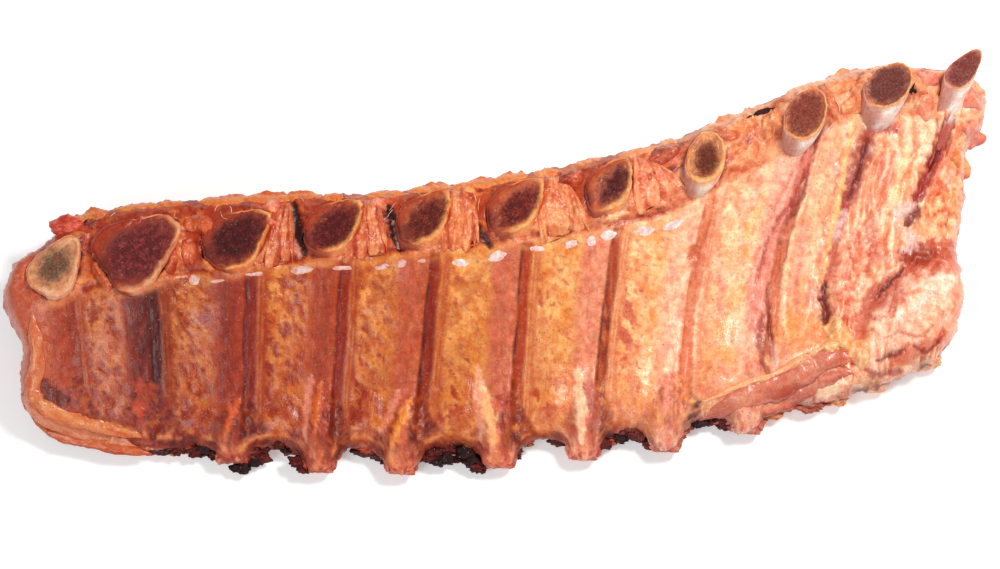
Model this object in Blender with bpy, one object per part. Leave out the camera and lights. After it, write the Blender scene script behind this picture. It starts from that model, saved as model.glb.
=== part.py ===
"""A rack of smoked pork back ribs, lying on its meaty outer side with the hollow inner side up.

The meat is one curved slab. A point of it is named by two numbers: `rib`, which is 0 at the left
end, 1 to 11 on the ribs and 12 at the right end, and `across`, which is 0 at the front edge, where
the ribs were trimmed, and 1 at the back edge, where they were sawn from the spine. Every rib is a
bone of its own. It runs through a tunnel in the meat, from a short stub at the front edge to a
sawn face at the back, where the slab curves up. Sizes are in millimetres, Z is up, and the table
is at Z 0.
"""

import math

import bmesh
import bpy
import numpy as np
from mathutils import Vector

MM = 0.001

# The ribs, from left to right: where each crosses the back edge and the front edge, how far its
# stub stands out of the front edge or, below nothing, ends inside it, how far across the slab its
# sawn face lies, the height of that face, and the face's half length, half width, turn in plan in
# degrees, and three-cornered swelling as a share.
RIBS = (
    dict(back_x=-190, front_x=-182, stub=-9, face_at=0.79, face_z=40, half=(14.0, 10.0), turn=60, corners=0.13),
    dict(back_x=-156, front_x=-150, stub=0.8, face_at=0.775, face_z=41, half=(18.5, 15.5), turn=35, corners=0.16),
    dict(back_x=-112, front_x=-114, stub=1.5, face_at=0.81, face_z=41, half=(16.5, 13.0), turn=38, corners=0.1),
    dict(back_x=-70, front_x=-77, stub=4.2, face_at=0.85, face_z=41, half=(15.0, 11.0), turn=42, corners=0.07),
    dict(back_x=-31, front_x=-42, stub=5, face_at=0.86, face_z=41, half=(15.0, 10.5), turn=48, corners=0.06),
    dict(back_x=8, front_x=0, stub=4, face_at=0.86, face_z=41, half=(15.5, 10.5), turn=45, corners=0.06),
    dict(back_x=50, front_x=36, stub=4.5, face_at=0.86, face_z=42, half=(14.0, 9.5), turn=58, corners=0.04),
    dict(back_x=93, front_x=71, stub=5, face_at=0.855, face_z=46, half=(12.0, 8.3), turn=74, corners=0.02),
    dict(back_x=137, front_x=106, stub=4, face_at=0.865, face_z=49, half=(12.5, 8.5), turn=64, corners=0.02),
    dict(back_x=171, front_x=140, stub=-12, face_at=0.9, face_z=50, half=(12.0, 8.6), turn=42, corners=0.02),
    dict(back_x=200, front_x=166, stub=-12, face_at=0.97, face_z=50, half=(10.5, 5.5), turn=50, corners=0.1),
)
LAST = len(RIBS) + 1
LEFT_END_X = (-207, -206)
RIGHT_END_X = (211, 186)

# The slab's outline in plan, as points (x, y) of smooth curves.
BACK_EDGE = (
    (-215, -5), (-206, 0), (-190, 12), (-179, 20), (-154, 25), (-113, 28), (-49, 31), (-13, 35),
    (47, 47), (91, 60), (135, 79), (170, 87), (191, 86), (202, 83), (211, 76),
)
FRONT_EDGE = (
    (-206, -55), (-197, -67), (-167, -73), (-114, -81), (-60, -83), (0, -81), (36, -77),
    (71, -73), (106, -66), (141, -57), (160, -52), (188, -39),
)
LEFT_BULGE = ((0, 0), (0.35, -1.5), (0.72, 6), (1, 0))
RIGHT_BULGE = ((0, 0), (0.13, 8), (0.24, 8.5), (0.46, 1), (0.62, 0.5), (0.78, -3.5), (0.92, 2), (1, 0))
NOTCH_DEPTH = 6.0
NOTCH_RIBS = (2.6, 9.6)
RIB_BOW = 5.0
BOWED_RIBS = (5, 9)

# Heights across the slab: the inner side of the left ribs and of the right ribs, and the outside.
INNER_LEFT = (
    (0, 14), (0.1, 15.5), (0.3, 17), (0.5, 20), (0.62, 26), (0.7, 33), (0.78, 38), (0.9, 39.5), (1, 38),
)
INNER_RIGHT = (
    (0, 14), (0.1, 15.5), (0.3, 17), (0.5, 19), (0.62, 23), (0.72, 28), (0.82, 34), (0.92, 37), (1, 36),
)
RIGHT_FORM_RIBS = (7.6, 9.2)
OUTER = ((0, 5), (0.09, 0), (0.66, 0), (0.8, 4), (0.92, 12), (1, 20))
EDGE_ROUND = 9.0
END_ROUND = 8.0

# Relief of the inner side over one rib space: the rib's ridge, the vessel groove on its right
# and the swollen muscle between, in millimetres against the share of the space.
RIB_SPACE = (
    (0, 2.3), (0.09, 1.9), (0.13, 0.2), (0.19, -2.1), (0.26, -1.6), (0.34, 0.2), (0.56, 2.4),
    (0.74, 1.0), (0.85, 1.6), (0.94, 2.4), (1, 2.3),
)
RELIEF_ACROSS = ((0, 0), (0.04, 0.3), (0.12, 1), (0.64, 1), (0.72, 0.3), (0.8, 0), (1, 0))
HEAD_VALLEY = 3.0
HEAD_ZONE_ACROSS = ((0, 0), (0.7, 0), (0.8, 1), (0.92, 0.8), (1, 0.2))

# Raised forms on the slab: the rolled rim of the left end, the strip of midriff muscle along the
# front edge near the right end, and the thick flap of meat folded over the right end.
LEFT_RIM = (0.24, 0.22, 6.0)
FRONT_STRIP = dict(ribs=(7.4, 11.4), across=(0.04, 0.2), half_width=0.085, height=6.0)
FLAP = dict(x=172, y=-23, half=(32, 21), turn=58, height=13.0)
NUB = dict(x=-184, y=15, z=34, half=(8.0, 6.0, 5.5))

# The bones: the shaft's half width and half thickness and the meat over it, where across the slab
# the line rises to the face (at the latest RISE_LENGTH before it), the places before that where
# its line keeps to the skin, and the share of its length at which it starts to widen.
SHAFT_HALF = (5.8, 4.4)
COVER = 2.8
RISE_FROM = 0.7
RISE_LENGTH = 0.12
BONE_FOLLOWS = (0, 0.14, 0.3, 0.48, 0.58)
FLARE_FROM = 0.78
BONE_GAP = 0.35
BONE_SIDES = 12
BONE_STATIONS = (0, 0.2, 0.42, 0.6, 0.74, 0.83, 0.9, 0.95, 1)

# Where the meat's mesh has its columns in one rib space, and its rows across the slab.
SPACE_COLUMNS = (0, 0.1, 0.19, 0.26, 0.34, 0.56, 0.75, 0.88)
LEFT_COLUMNS = (0, 0.05, 0.18, 0.34, 0.52, 0.7, 0.87)
RIGHT_COLUMNS = (0, 0.14, 0.3, 0.48, 0.66, 0.82, 0.94, 1)
ROWS = (0, 0.012, 0.045, 0.1, 0.19, 0.32, 0.45, 0.57, 0.67, 0.76, 0.86, 0.94, 0.985, 1)

SHARP_ANGLE = math.radians(40)
MEAT_COLOUR = (0.62, 0.22, 0.09, 1)
BONE_COLOUR = (0.80, 0.66, 0.50, 1)


def smooth_curve(points):
    """A function through the points, made of cubic pieces that are level at every peak."""
    x, y = np.array(points, float).T
    step, rise = np.diff(x), np.diff(y) / np.diff(x)
    slope = np.concatenate([rise[:1], np.zeros(len(x) - 2), rise[-1:]])
    for k in range(1, len(x) - 1):
        if rise[k - 1] * rise[k] > 0:
            before, after = 2 * step[k] + step[k - 1], step[k] + 2 * step[k - 1]
            slope[k] = (before + after) / (before / rise[k - 1] + after / rise[k])

    def value(at):
        at = np.clip(np.asarray(at, float), x[0], x[-1])
        k = np.clip(np.searchsorted(x, at, side="right") - 1, 0, len(step) - 1)
        t = (at - x[k]) / step[k]
        straight = y[k] + (y[k + 1] - y[k]) * t * t * (3 - 2 * t)
        return straight + step[k] * t * (1 - t) * ((1 - t) * slope[k] - t * slope[k + 1])

    return value


def ease(value, low, high):
    """0 up to low, 1 from high on, and smooth between them."""
    t = np.clip((np.asarray(value, float) - low) / (high - low), 0, 1)
    return t * t * (3 - 2 * t)


rib_numbers = np.arange(LAST + 1)
back_x_of = smooth_curve(
    list(zip(rib_numbers, [LEFT_END_X[0], *[r["back_x"] for r in RIBS], RIGHT_END_X[0]]))
)
front_x_of = smooth_curve(
    list(zip(rib_numbers, [LEFT_END_X[1], *[r["front_x"] for r in RIBS], RIGHT_END_X[1]]))
)
back_y_of = smooth_curve(BACK_EDGE)
front_y_of = smooth_curve(FRONT_EDGE)
left_bulge_at = smooth_curve(LEFT_BULGE)
right_bulge_at = smooth_curve(RIGHT_BULGE)
inner_left_at = smooth_curve(INNER_LEFT)
inner_right_at = smooth_curve(INNER_RIGHT)
outer_at = smooth_curve(OUTER)
rib_space_at = smooth_curve(RIB_SPACE)
relief_across_at = smooth_curve(RELIEF_ACROSS)
head_zone_at = smooth_curve(HEAD_ZONE_ACROSS)


def notch(rib):
    """How far the front edge draws back between two stubs: nothing on a rib, most halfway."""
    low, high = NOTCH_RIBS
    share = ease(rib, low - 0.5, low + 0.5) * (1 - ease(rib, high - 0.5, high + 0.5))
    return NOTCH_DEPTH * share * (0.5 - 0.5 * np.cos(2 * math.pi * np.asarray(rib, float)))


def plan(rib, across):
    """Where a point of the slab lies in plan, as (x, y)."""
    rib, across = np.asarray(rib, float), np.asarray(across, float)
    back_x, front_x = back_x_of(rib), front_x_of(rib)
    front_y = front_y_of(front_x) + notch(rib)
    x = front_x + (back_x - front_x) * across
    y = front_y + (back_y_of(back_x) - front_y) * across
    bow = RIB_BOW * ease(rib, *BOWED_RIBS) * (1 - ease(rib, LAST - 1, LAST))
    x = x - bow * 4 * across * (1 - across)
    x = x - left_bulge_at(across) * (1 - ease(rib, 0, 1))
    x = x + right_bulge_at(across) * ease(rib, LAST - 1, LAST)
    return x, y


def base_height(rib, across):
    """The inner side's height without its relief."""
    right = ease(rib, *RIGHT_FORM_RIBS)
    return inner_left_at(across) * (1 - right) + inner_right_at(across) * right


def raised_forms(rib, across):
    """The rim, the strip and the flap that stand on the slab."""
    centre, half, height = LEFT_RIM
    rim = height * np.exp(-(((rib - centre) / half) ** 2)) * (1 - ease(across, 0.55, 0.75))
    first, last = FRONT_STRIP["ribs"]
    line = np.interp(rib, (first, last), FRONT_STRIP["across"])
    strip = np.exp(-(((across - line) / FRONT_STRIP["half_width"]) ** 2))
    strip = strip * FRONT_STRIP["height"] * ease(rib, first, first + 1.2)
    x, y = plan(rib, across)
    turn = math.radians(FLAP["turn"])
    along = (x - FLAP["x"]) * math.cos(turn) + (y - FLAP["y"]) * math.sin(turn)
    aside = (y - FLAP["y"]) * math.cos(turn) - (x - FLAP["x"]) * math.sin(turn)
    reach = (along / FLAP["half"][0]) ** 2 + (aside / FLAP["half"][1]) ** 2
    flap = FLAP["height"] * np.exp(-(reach**1.5))
    return rim + np.maximum(strip, flap)


def inner_height(rib, across):
    """The inner side's height, with the ribs' relief and the raised forms."""
    ribs_only = ease(rib, 0.4, 0.7) * (1 - ease(rib, LAST - 1.2, LAST - 0.6))
    relief = rib_space_at(rib - np.floor(rib)) * relief_across_at(across) * ribs_only
    valley = HEAD_VALLEY * head_zone_at(across) * (0.5 - 0.5 * np.cos(2 * math.pi * rib))
    return base_height(rib, across) + relief - valley * ribs_only + raised_forms(rib, across)


def edge_share(rib, across):
    """0 on the slab's outline and 1 further in than the round of its edge."""
    x, y = plan(rib, across)
    front_x, front_y = plan(rib, np.zeros_like(across))
    back_x, back_y = plan(rib, np.ones_like(across))
    left_x, _ = plan(np.zeros_like(rib), across)
    right_x, _ = plan(np.full_like(rib, LAST), across)
    inside = np.minimum(np.hypot(x - front_x, y - front_y), np.hypot(x - back_x, y - back_y))
    depth = np.minimum(inside / EDGE_ROUND, np.minimum(x - left_x, right_x - x) / END_ROUND)
    return np.sqrt(1 - (1 - np.clip(depth, 0, 1)) ** 2)


def slab_surfaces(rib, across):
    """The slab's upper and lower surface as points, which meet on the slab's outline."""
    x, y = plan(rib, across)
    top, bottom = inner_height(rib, across), outer_at(across)
    middle, share = (top + bottom) / 2, edge_share(rib, across)
    upper = np.stack([x, y, middle + (top - middle) * share], axis=-1)
    lower = np.stack([x, y, middle + (bottom - middle) * share], axis=-1)
    return upper, lower


def object_from(bm, name, material):
    """A named object in the scene that holds the bmesh, in metres."""
    mesh = bpy.data.meshes.new(name)
    bmesh.ops.scale(bm, vec=(MM, MM, MM), verts=bm.verts)
    bm.normal_update()
    bm.to_mesh(mesh)
    bm.free()
    mesh.materials.append(material)
    mesh.shade_smooth()
    mesh.set_sharp_from_angle(angle=SHARP_ANGLE)
    obj = bpy.data.objects.new(name, mesh)
    bpy.context.scene.collection.objects.link(obj)
    return obj


def finish_material(name, colour, roughness):
    material = bpy.data.materials.new(name)
    material.use_nodes = True
    shader = material.node_tree.nodes["Principled BSDF"]
    shader.inputs["Base Color"].default_value = colour
    shader.inputs["Roughness"].default_value = roughness
    return material


def slab_columns():
    columns = list(LEFT_COLUMNS)
    for space in range(1, LAST - 1):
        columns += [space + share for share in SPACE_COLUMNS]
    return np.array(columns + [LAST - 1 + share for share in RIGHT_COLUMNS])


def make_meat(material):
    """The slab: an upper and a lower sheet of faces over one grid, joined along the outline."""
    rib, across = np.meshgrid(slab_columns(), np.array(ROWS), indexing="ij")
    upper, lower = slab_surfaces(rib, across)
    columns, rows = rib.shape
    bm = bmesh.new()
    top = [[bm.verts.new(Vector(upper[c, r])) for r in range(rows)] for c in range(columns)]
    below = [
        [
            top[c][r] if c in (0, columns - 1) or r in (0, rows - 1) else bm.verts.new(Vector(lower[c, r]))
            for r in range(rows)
        ]
        for c in range(columns)
    ]
    for c in range(columns - 1):
        for r in range(rows - 1):
            bm.faces.new((top[c][r], top[c + 1][r], top[c + 1][r + 1], top[c][r + 1]))
            bm.faces.new((below[c][r], below[c][r + 1], below[c + 1][r + 1], below[c + 1][r]))
    bmesh.ops.triangulate(bm, faces=bm.faces)
    return object_from(bm, "meat", material)


def make_nub():
    """The loose knob of meat at the back left corner, as a squashed ball to join on."""
    bm = bmesh.new()
    bmesh.ops.create_icosphere(bm, subdivisions=2, radius=1)
    bmesh.ops.scale(bm, vec=NUB["half"], verts=bm.verts)
    bmesh.ops.translate(bm, vec=(NUB["x"], NUB["y"], NUB["z"]), verts=bm.verts)
    return bm


def rib_line(number):
    """The rib's middle line as a function of the share of its length, from stub to sawn face."""
    rib = RIBS[number - 1]
    rise_at = min(RISE_FROM, rib["face_at"] - RISE_LENGTH)
    across = np.array([*BONE_FOLLOWS, rise_at, rib["face_at"]])
    skin = base_height(number, across) + rib_space_at(0) * relief_across_at(across)
    x, y = plan(number, across)
    steepness = np.gradient(skin, np.hypot(x - x[0], y - y[0]))
    height = skin - (COVER + SHAFT_HALF[1]) * np.hypot(1, steepness)
    height[-1] = rib["face_z"]
    y[0] = y[0] - rib["stub"]
    length = np.concatenate([[0], np.cumsum(np.hypot(np.hypot(np.diff(x), np.diff(y)), np.diff(height)))])
    share = length / length[-1]
    return [smooth_curve(list(zip(share, values))) for values in (x, y, height)]


def rib_rings(number, grow=0.0, run_out=0.0):
    """The rib's cross-sections, from the stub to the sawn face. The shaft is an oval across the
    line, and the last sections turn and widen into the level sawn face."""
    rib, line = RIBS[number - 1], rib_line(number)
    shares = np.array(BONE_STATIONS, float)
    centre = np.stack([f(shares) for f in line], axis=-1)
    ahead = np.stack([f(np.minimum(shares + 0.02, 1)) for f in line], axis=-1)
    behind = np.stack([f(np.maximum(shares - 0.02, 0)) for f in line], axis=-1)
    along = ahead - behind
    along /= np.linalg.norm(along, axis=1)[:, None]
    aside = np.cross(along, (0, 0, 1))
    aside /= np.linalg.norm(aside, axis=1)[:, None]
    inward = np.cross(aside, along)
    turn = math.radians(rib["turn"])
    long_way = np.array([math.cos(turn), math.sin(turn), 0]) * (rib["half"][0] + grow)
    short_way = np.array([math.sin(turn), -math.cos(turn), 0]) * (rib["half"][1] + grow)
    flare = ease(shares, FLARE_FROM, 1)[:, None]
    wide = aside * (SHAFT_HALF[0] + grow) * (1 - flare) + long_way * flare
    thick = inward * (SHAFT_HALF[1] + grow) * (1 - flare) + short_way * flare
    if run_out:
        before = run_out if rib["stub"] > 0 else grow
        first = centre[:1] - along[:1] * before
        last = centre[-1:] + np.array([[0, 0, run_out]])
        centre = np.concatenate([first, centre, last])
        wide, thick, flare = (np.concatenate([v[:1], v, v[-1:]]) for v in (wide, thick, flare))
    angles = np.arange(BONE_SIDES) * 2 * math.pi / BONE_SIDES
    swell = 1 + rib["corners"] * flare * np.cos(3 * angles)
    across_ring = (np.cos(angles) * swell)[..., None] * wide[:, None]
    return centre[:, None] + across_ring + (np.sin(angles) * swell)[..., None] * thick[:, None]


def solid_of_rings(rings):
    """A closed bmesh through rings of points, with a flat face on the first and the last."""
    bm = bmesh.new()
    loops = [[bm.verts.new(Vector(point)) for point in ring] for ring in rings]
    sides = len(loops[0])
    for near, far in zip(loops, loops[1:]):
        for k in range(sides):
            after = (k + 1) % sides
            bm.faces.new((near[k], near[after], far[after]))
            bm.faces.new((near[k], far[after], far[k]))
    bm.faces.new(loops[0][::-1])
    bm.faces.new(loops[-1])
    bmesh.ops.recalc_face_normals(bm, faces=bm.faces)
    return bm


def boolean(target, other, operation):
    """Cuts the other object out of the target, or joins it on. The other stays as a hidden helper."""
    other.hide_render = True
    other.display_type = "WIRE"
    modifier = target.modifiers.new(f"{operation.lower()} {other.name}", "BOOLEAN")
    modifier.operation = operation
    modifier.solver = "EXACT"
    modifier.object = other


def main():
    for obj in list(bpy.data.objects):
        bpy.data.objects.remove(obj, do_unlink=True)
    meat_finish = finish_material("smoked meat", MEAT_COLOUR, 0.45)
    bone_finish = finish_material("bone", BONE_COLOUR, 0.55)
    meat = make_meat(meat_finish)
    nub = object_from(make_nub(), "nub_helper", meat_finish)
    boolean(meat, nub, "UNION")
    for number in range(1, LAST):
        rib = object_from(solid_of_rings(rib_rings(number)), f"rib_{number:02d}", bone_finish)
        tunnel_rings = rib_rings(number, grow=BONE_GAP, run_out=12)
        tunnel = object_from(solid_of_rings(tunnel_rings), f"tunnel_{number:02d}", bone_finish)
        boolean(meat, tunnel, "DIFFERENCE")


main()
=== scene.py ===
"""The looks of a smoked rack of pork back ribs, lying on its meaty outer side, hollow side up.

The frame gives the slab of meat and the rib bones. Here the slab becomes a fine skin with its
membrane, muscle, grooves and fat, the bones get their sawn faces, and fans of muscle, lumps of
fat, rolled edges, sinew and flakes of crust are laid on it. A place on the slab is named as in
the frame's source: `rib` is 0 at the left end, 1 to 11 on the ribs and 12 at the right end, and
`across` is 0 at the front edge and 1 at the back edge. Shapes are worked out in millimetres.
"""

import math

import bpy
import numpy as np
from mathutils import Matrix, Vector


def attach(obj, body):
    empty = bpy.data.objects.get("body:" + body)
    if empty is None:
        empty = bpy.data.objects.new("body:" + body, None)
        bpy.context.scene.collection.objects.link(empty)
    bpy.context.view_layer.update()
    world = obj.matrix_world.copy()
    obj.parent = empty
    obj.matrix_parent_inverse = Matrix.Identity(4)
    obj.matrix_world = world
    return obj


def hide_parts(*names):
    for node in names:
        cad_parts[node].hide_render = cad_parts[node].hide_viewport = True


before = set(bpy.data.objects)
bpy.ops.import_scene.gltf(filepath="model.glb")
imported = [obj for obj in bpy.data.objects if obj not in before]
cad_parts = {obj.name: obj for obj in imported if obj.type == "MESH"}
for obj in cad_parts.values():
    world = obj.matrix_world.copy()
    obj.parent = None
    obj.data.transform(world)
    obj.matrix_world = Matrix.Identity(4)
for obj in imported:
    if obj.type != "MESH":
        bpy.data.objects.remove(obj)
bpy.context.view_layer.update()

MM = 0.001
BODY = "root"

# ------------------------------------------------------------------ the slab, as in the frame

RIBS = (
    dict(back_x=-190, front_x=-182, stub=-9, face_at=0.79, face_z=40, half=(14.0, 10.0), turn=60, corners=0.13),
    dict(back_x=-156, front_x=-150, stub=0.8, face_at=0.775, face_z=41, half=(18.5, 15.5), turn=35, corners=0.16),
    dict(back_x=-112, front_x=-114, stub=1.5, face_at=0.81, face_z=41, half=(16.5, 13.0), turn=38, corners=0.1),
    dict(back_x=-70, front_x=-77, stub=4.2, face_at=0.85, face_z=41, half=(15.0, 11.0), turn=42, corners=0.07),
    dict(back_x=-31, front_x=-42, stub=5, face_at=0.86, face_z=41, half=(15.0, 10.5), turn=48, corners=0.06),
    dict(back_x=8, front_x=0, stub=4, face_at=0.86, face_z=41, half=(15.5, 10.5), turn=45, corners=0.06),
    dict(back_x=50, front_x=36, stub=4.5, face_at=0.86, face_z=42, half=(14.0, 9.5), turn=58, corners=0.04),
    dict(back_x=93, front_x=71, stub=5, face_at=0.855, face_z=46, half=(12.0, 8.3), turn=74, corners=0.02),
    dict(back_x=137, front_x=106, stub=4, face_at=0.865, face_z=49, half=(12.5, 8.5), turn=64, corners=0.02),
    dict(back_x=171, front_x=140, stub=-12, face_at=0.9, face_z=50, half=(12.0, 8.6), turn=42, corners=0.02),
    dict(back_x=200, front_x=166, stub=-12, face_at=0.97, face_z=50, half=(10.5, 5.5), turn=50, corners=0.1),
)
LAST = len(RIBS) + 1
LEFT_END_X = (-207, -206)
RIGHT_END_X = (211, 186)
BACK_EDGE = (
    (-215, -5), (-206, 0), (-190, 12), (-179, 20), (-154, 25), (-113, 28), (-49, 31), (-13, 35),
    (47, 47), (91, 60), (135, 79), (170, 87), (191, 86), (202, 83), (211, 76),
)
FRONT_EDGE = (
    (-206, -55), (-197, -67), (-167, -73), (-114, -81), (-60, -83), (0, -81), (36, -77),
    (71, -73), (106, -66), (141, -57), (160, -52), (188, -39),
)
LEFT_BULGE = ((0, 0), (0.35, -1.5), (0.72, 6), (1, 0))
RIGHT_BULGE = ((0, 0), (0.13, 8), (0.24, 8.5), (0.46, 1), (0.62, 0.5), (0.78, -3.5), (0.92, 2), (1, 0))
NOTCH_DEPTH = 6.0
NOTCH_RIBS = (2.6, 9.6)
RIB_BOW = 5.0
BOWED_RIBS = (5, 9)
INNER_LEFT = (
    (0, 14), (0.1, 15.5), (0.3, 17), (0.5, 20), (0.62, 26), (0.7, 33), (0.78, 38), (0.9, 39.5), (1, 38),
)
INNER_RIGHT = (
    (0, 14), (0.1, 15.5), (0.3, 17), (0.5, 19), (0.62, 23), (0.72, 28), (0.82, 34), (0.92, 37), (1, 36),
)
RIGHT_FORM_RIBS = (7.6, 9.2)
OUTER = ((0, 5), (0.09, 0), (0.66, 0), (0.8, 4), (0.92, 12), (1, 20))
EDGE_ROUND = 9.0
END_ROUND = 8.0
RELIEF_ACROSS = ((0, 0), (0.04, 0.3), (0.12, 1), (0.64, 1), (0.72, 0.3), (0.8, 0), (1, 0))
HEAD_VALLEY = 3.0
HEAD_ZONE_ACROSS = ((0, 0), (0.7, 0), (0.8, 1), (0.92, 0.8), (1, 0.2))
LEFT_RIM = (0.24, 0.22, 6.0)
FRONT_STRIP = dict(ribs=(7.4, 11.4), across=(0.04, 0.2), half_width=0.085, height=6.0)
FLAP = dict(x=172, y=-23, half=(32, 21), turn=58, height=13.0)
SHAFT_HALF = (5.8, 4.4)
COVER = 2.8
RISE_FROM = 0.7
RISE_LENGTH = 0.12
BONE_FOLLOWS = (0, 0.14, 0.3, 0.48, 0.58)
FLARE_FROM = 0.78

# The rib space in fine: height over the share of the space, from one rib to the next. A ridge
# stands over the bone, a steep step leads down to the vessel's groove, two fine cords run beside
# it, and the muscle swells between.
RIB_SPACE_FINE = (
    (0, 2.3), (0.07, 2.4), (0.1, 1.9), (0.13, 0.4), (0.16, -0.7), (0.2, -1.1), (0.235, -0.9),
    (0.26, -0.5), (0.3, -0.4), (0.36, 0.3), (0.46, 1.6), (0.58, 2.3), (0.68, 2.0), (0.76, 1.4),
    (0.81, 1.4), (0.88, 2.0), (0.95, 2.4), (1, 2.3),
)


def smooth_curve(points):
    """A function through the points, made of cubic pieces that are level at every peak."""
    x, y = np.array(points, float).T
    step, rise = np.diff(x), np.diff(y) / np.diff(x)
    slope = np.concatenate([rise[:1], np.zeros(len(x) - 2), rise[-1:]])
    for k in range(1, len(x) - 1):
        if rise[k - 1] * rise[k] > 0:
            before, after = 2 * step[k] + step[k - 1], step[k] + 2 * step[k - 1]
            slope[k] = (before + after) / (before / rise[k - 1] + after / rise[k])

    def value(at):
        at = np.clip(np.asarray(at, float), x[0], x[-1])
        k = np.clip(np.searchsorted(x, at, side="right") - 1, 0, len(step) - 1)
        t = (at - x[k]) / step[k]
        straight = y[k] + (y[k + 1] - y[k]) * t * t * (3 - 2 * t)
        return straight + step[k] * t * (1 - t) * ((1 - t) * slope[k] - t * slope[k + 1])

    return value


def ease(value, low, high):
    """0 up to low, 1 from high on, and smooth between them."""
    t = np.clip((np.asarray(value, float) - low) / (high - low), 0, 1)
    return t * t * (3 - 2 * t)


def bell(value, centre, half):
    """1 at the centre, falling to about a third one half-width away."""
    return np.exp(-(((np.asarray(value, float) - centre) / half) ** 2))


rib_numbers = np.arange(LAST + 1)
back_x_of = smooth_curve(
    list(zip(rib_numbers, [LEFT_END_X[0], *[r["back_x"] for r in RIBS], RIGHT_END_X[0]]))
)
front_x_of = smooth_curve(
    list(zip(rib_numbers, [LEFT_END_X[1], *[r["front_x"] for r in RIBS], RIGHT_END_X[1]]))
)
back_y_of = smooth_curve(BACK_EDGE)
front_y_of = smooth_curve(FRONT_EDGE)
left_bulge_at = smooth_curve(LEFT_BULGE)
right_bulge_at = smooth_curve(RIGHT_BULGE)
inner_left_at = smooth_curve(INNER_LEFT)
inner_right_at = smooth_curve(INNER_RIGHT)
outer_at = smooth_curve(OUTER)
rib_space_at = smooth_curve(RIB_SPACE_FINE)
relief_across_at = smooth_curve(RELIEF_ACROSS)
head_zone_at = smooth_curve(HEAD_ZONE_ACROSS)


def notch(rib):
    """How far the front edge draws back between two stubs: nothing on a rib, most halfway."""
    low, high = NOTCH_RIBS
    share = ease(rib, low - 0.5, low + 0.5) * (1 - ease(rib, high - 0.5, high + 0.5))
    return NOTCH_DEPTH * share * (0.5 - 0.5 * np.cos(2 * math.pi * np.asarray(rib, float)))


def plan(rib, across):
    """Where a point of the slab lies in plan, as (x, y)."""
    rib, across = np.asarray(rib, float), np.asarray(across, float)
    back_x, front_x = back_x_of(rib), front_x_of(rib)
    front_y = front_y_of(front_x) + notch(rib)
    x = front_x + (back_x - front_x) * across
    y = front_y + (back_y_of(back_x) - front_y) * across
    bow = RIB_BOW * ease(rib, *BOWED_RIBS) * (1 - ease(rib, LAST - 1, LAST))
    x = x - bow * 4 * across * (1 - across)
    x = x - left_bulge_at(across) * (1 - ease(rib, 0, 1))
    x = x + right_bulge_at(across) * ease(rib, LAST - 1, LAST)
    return x, y


def base_height(rib, across):
    """The inner side's height without its relief."""
    right = ease(rib, *RIGHT_FORM_RIBS)
    return inner_left_at(across) * (1 - right) + inner_right_at(across) * right


def raised_forms(rib, across):
    """The rim of the left end, the strip along the front edge and the folded end flap."""
    centre, half, height = LEFT_RIM
    rim = height * bell(rib, centre, half) * (1 - ease(across, 0.55, 0.75))
    first, last = FRONT_STRIP["ribs"]
    line = np.interp(rib, (first, last), FRONT_STRIP["across"])
    strip = bell(across, line, FRONT_STRIP["half_width"]) * FRONT_STRIP["height"]
    strip = strip * ease(rib, first, first + 1.2)
    x, y = plan(rib, across)
    turn = math.radians(FLAP["turn"])
    along = (x - FLAP["x"]) * math.cos(turn) + (y - FLAP["y"]) * math.sin(turn)
    aside = (y - FLAP["y"]) * math.cos(turn) - (x - FLAP["x"]) * math.sin(turn)
    reach = np.hypot(along / FLAP["half"][0], aside / FLAP["half"][1])
    return rim + np.maximum(strip, FLAP["height"] * np.exp(-(reach**1.5)))


def inner_height(rib, across):
    """The inner side's height, with the ribs' relief and the raised forms."""
    ribs_only = ease(rib, 0.4, 0.7) * (1 - ease(rib, LAST - 1.2, LAST - 0.6))
    relief = rib_space_at(rib - np.floor(rib)) * relief_across_at(across) * ribs_only
    valley = HEAD_VALLEY * head_zone_at(across) * (0.5 - 0.5 * np.cos(2 * math.pi * rib))
    return base_height(rib, across) + relief - valley * ribs_only + raised_forms(rib, across)


def edge_share(rib, across):
    """0 on the slab's outline and 1 further in than the round of its edge."""
    x, y = plan(rib, across)
    front_x, front_y = plan(rib, np.zeros_like(across))
    back_x, back_y = plan(rib, np.ones_like(across))
    left_x, _ = plan(np.zeros_like(rib), across)
    right_x, _ = plan(np.full_like(rib, LAST), across)
    inside = np.minimum(np.hypot(x - front_x, y - front_y), np.hypot(x - back_x, y - back_y))
    depth = np.minimum(inside / EDGE_ROUND, np.minimum(x - left_x, right_x - x) / END_ROUND)
    return np.sqrt(1 - (1 - np.clip(depth, 0, 1)) ** 2)


def place_on_slab(x, y):
    """(rib, across) of points given in plan, found by a damped Newton search on plan()."""
    x, y = np.asarray(x, float), np.asarray(y, float)
    rib = np.interp(x, (LEFT_END_X[0], RIGHT_END_X[0]), (0, LAST))
    across = np.full_like(x, 0.5)
    for _ in range(16):
        rib_step = np.where(rib < LAST / 2, 1e-3, -1e-3)
        across_step = np.where(across < 0.5, 1e-3, -1e-3)
        px, py = plan(rib, across)
        rx, ry = plan(rib + rib_step, across)
        ax, ay = plan(rib, across + across_step)
        a, c = (rx - px) / rib_step, (ry - py) / rib_step
        b, d = (ax - px) / across_step, (ay - py) / across_step
        det = a * d - b * c
        dx, dy = x - px, y - py
        rib = np.clip(rib + np.clip((d * dx - b * dy) / det, -0.7, 0.7), 0, LAST)
        across = np.clip(across + np.clip((a * dy - c * dx) / det, -0.15, 0.15), 0, 1)
    return rib, across


# ------------------------------------------------------------------ noise, worked out in arrays


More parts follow.
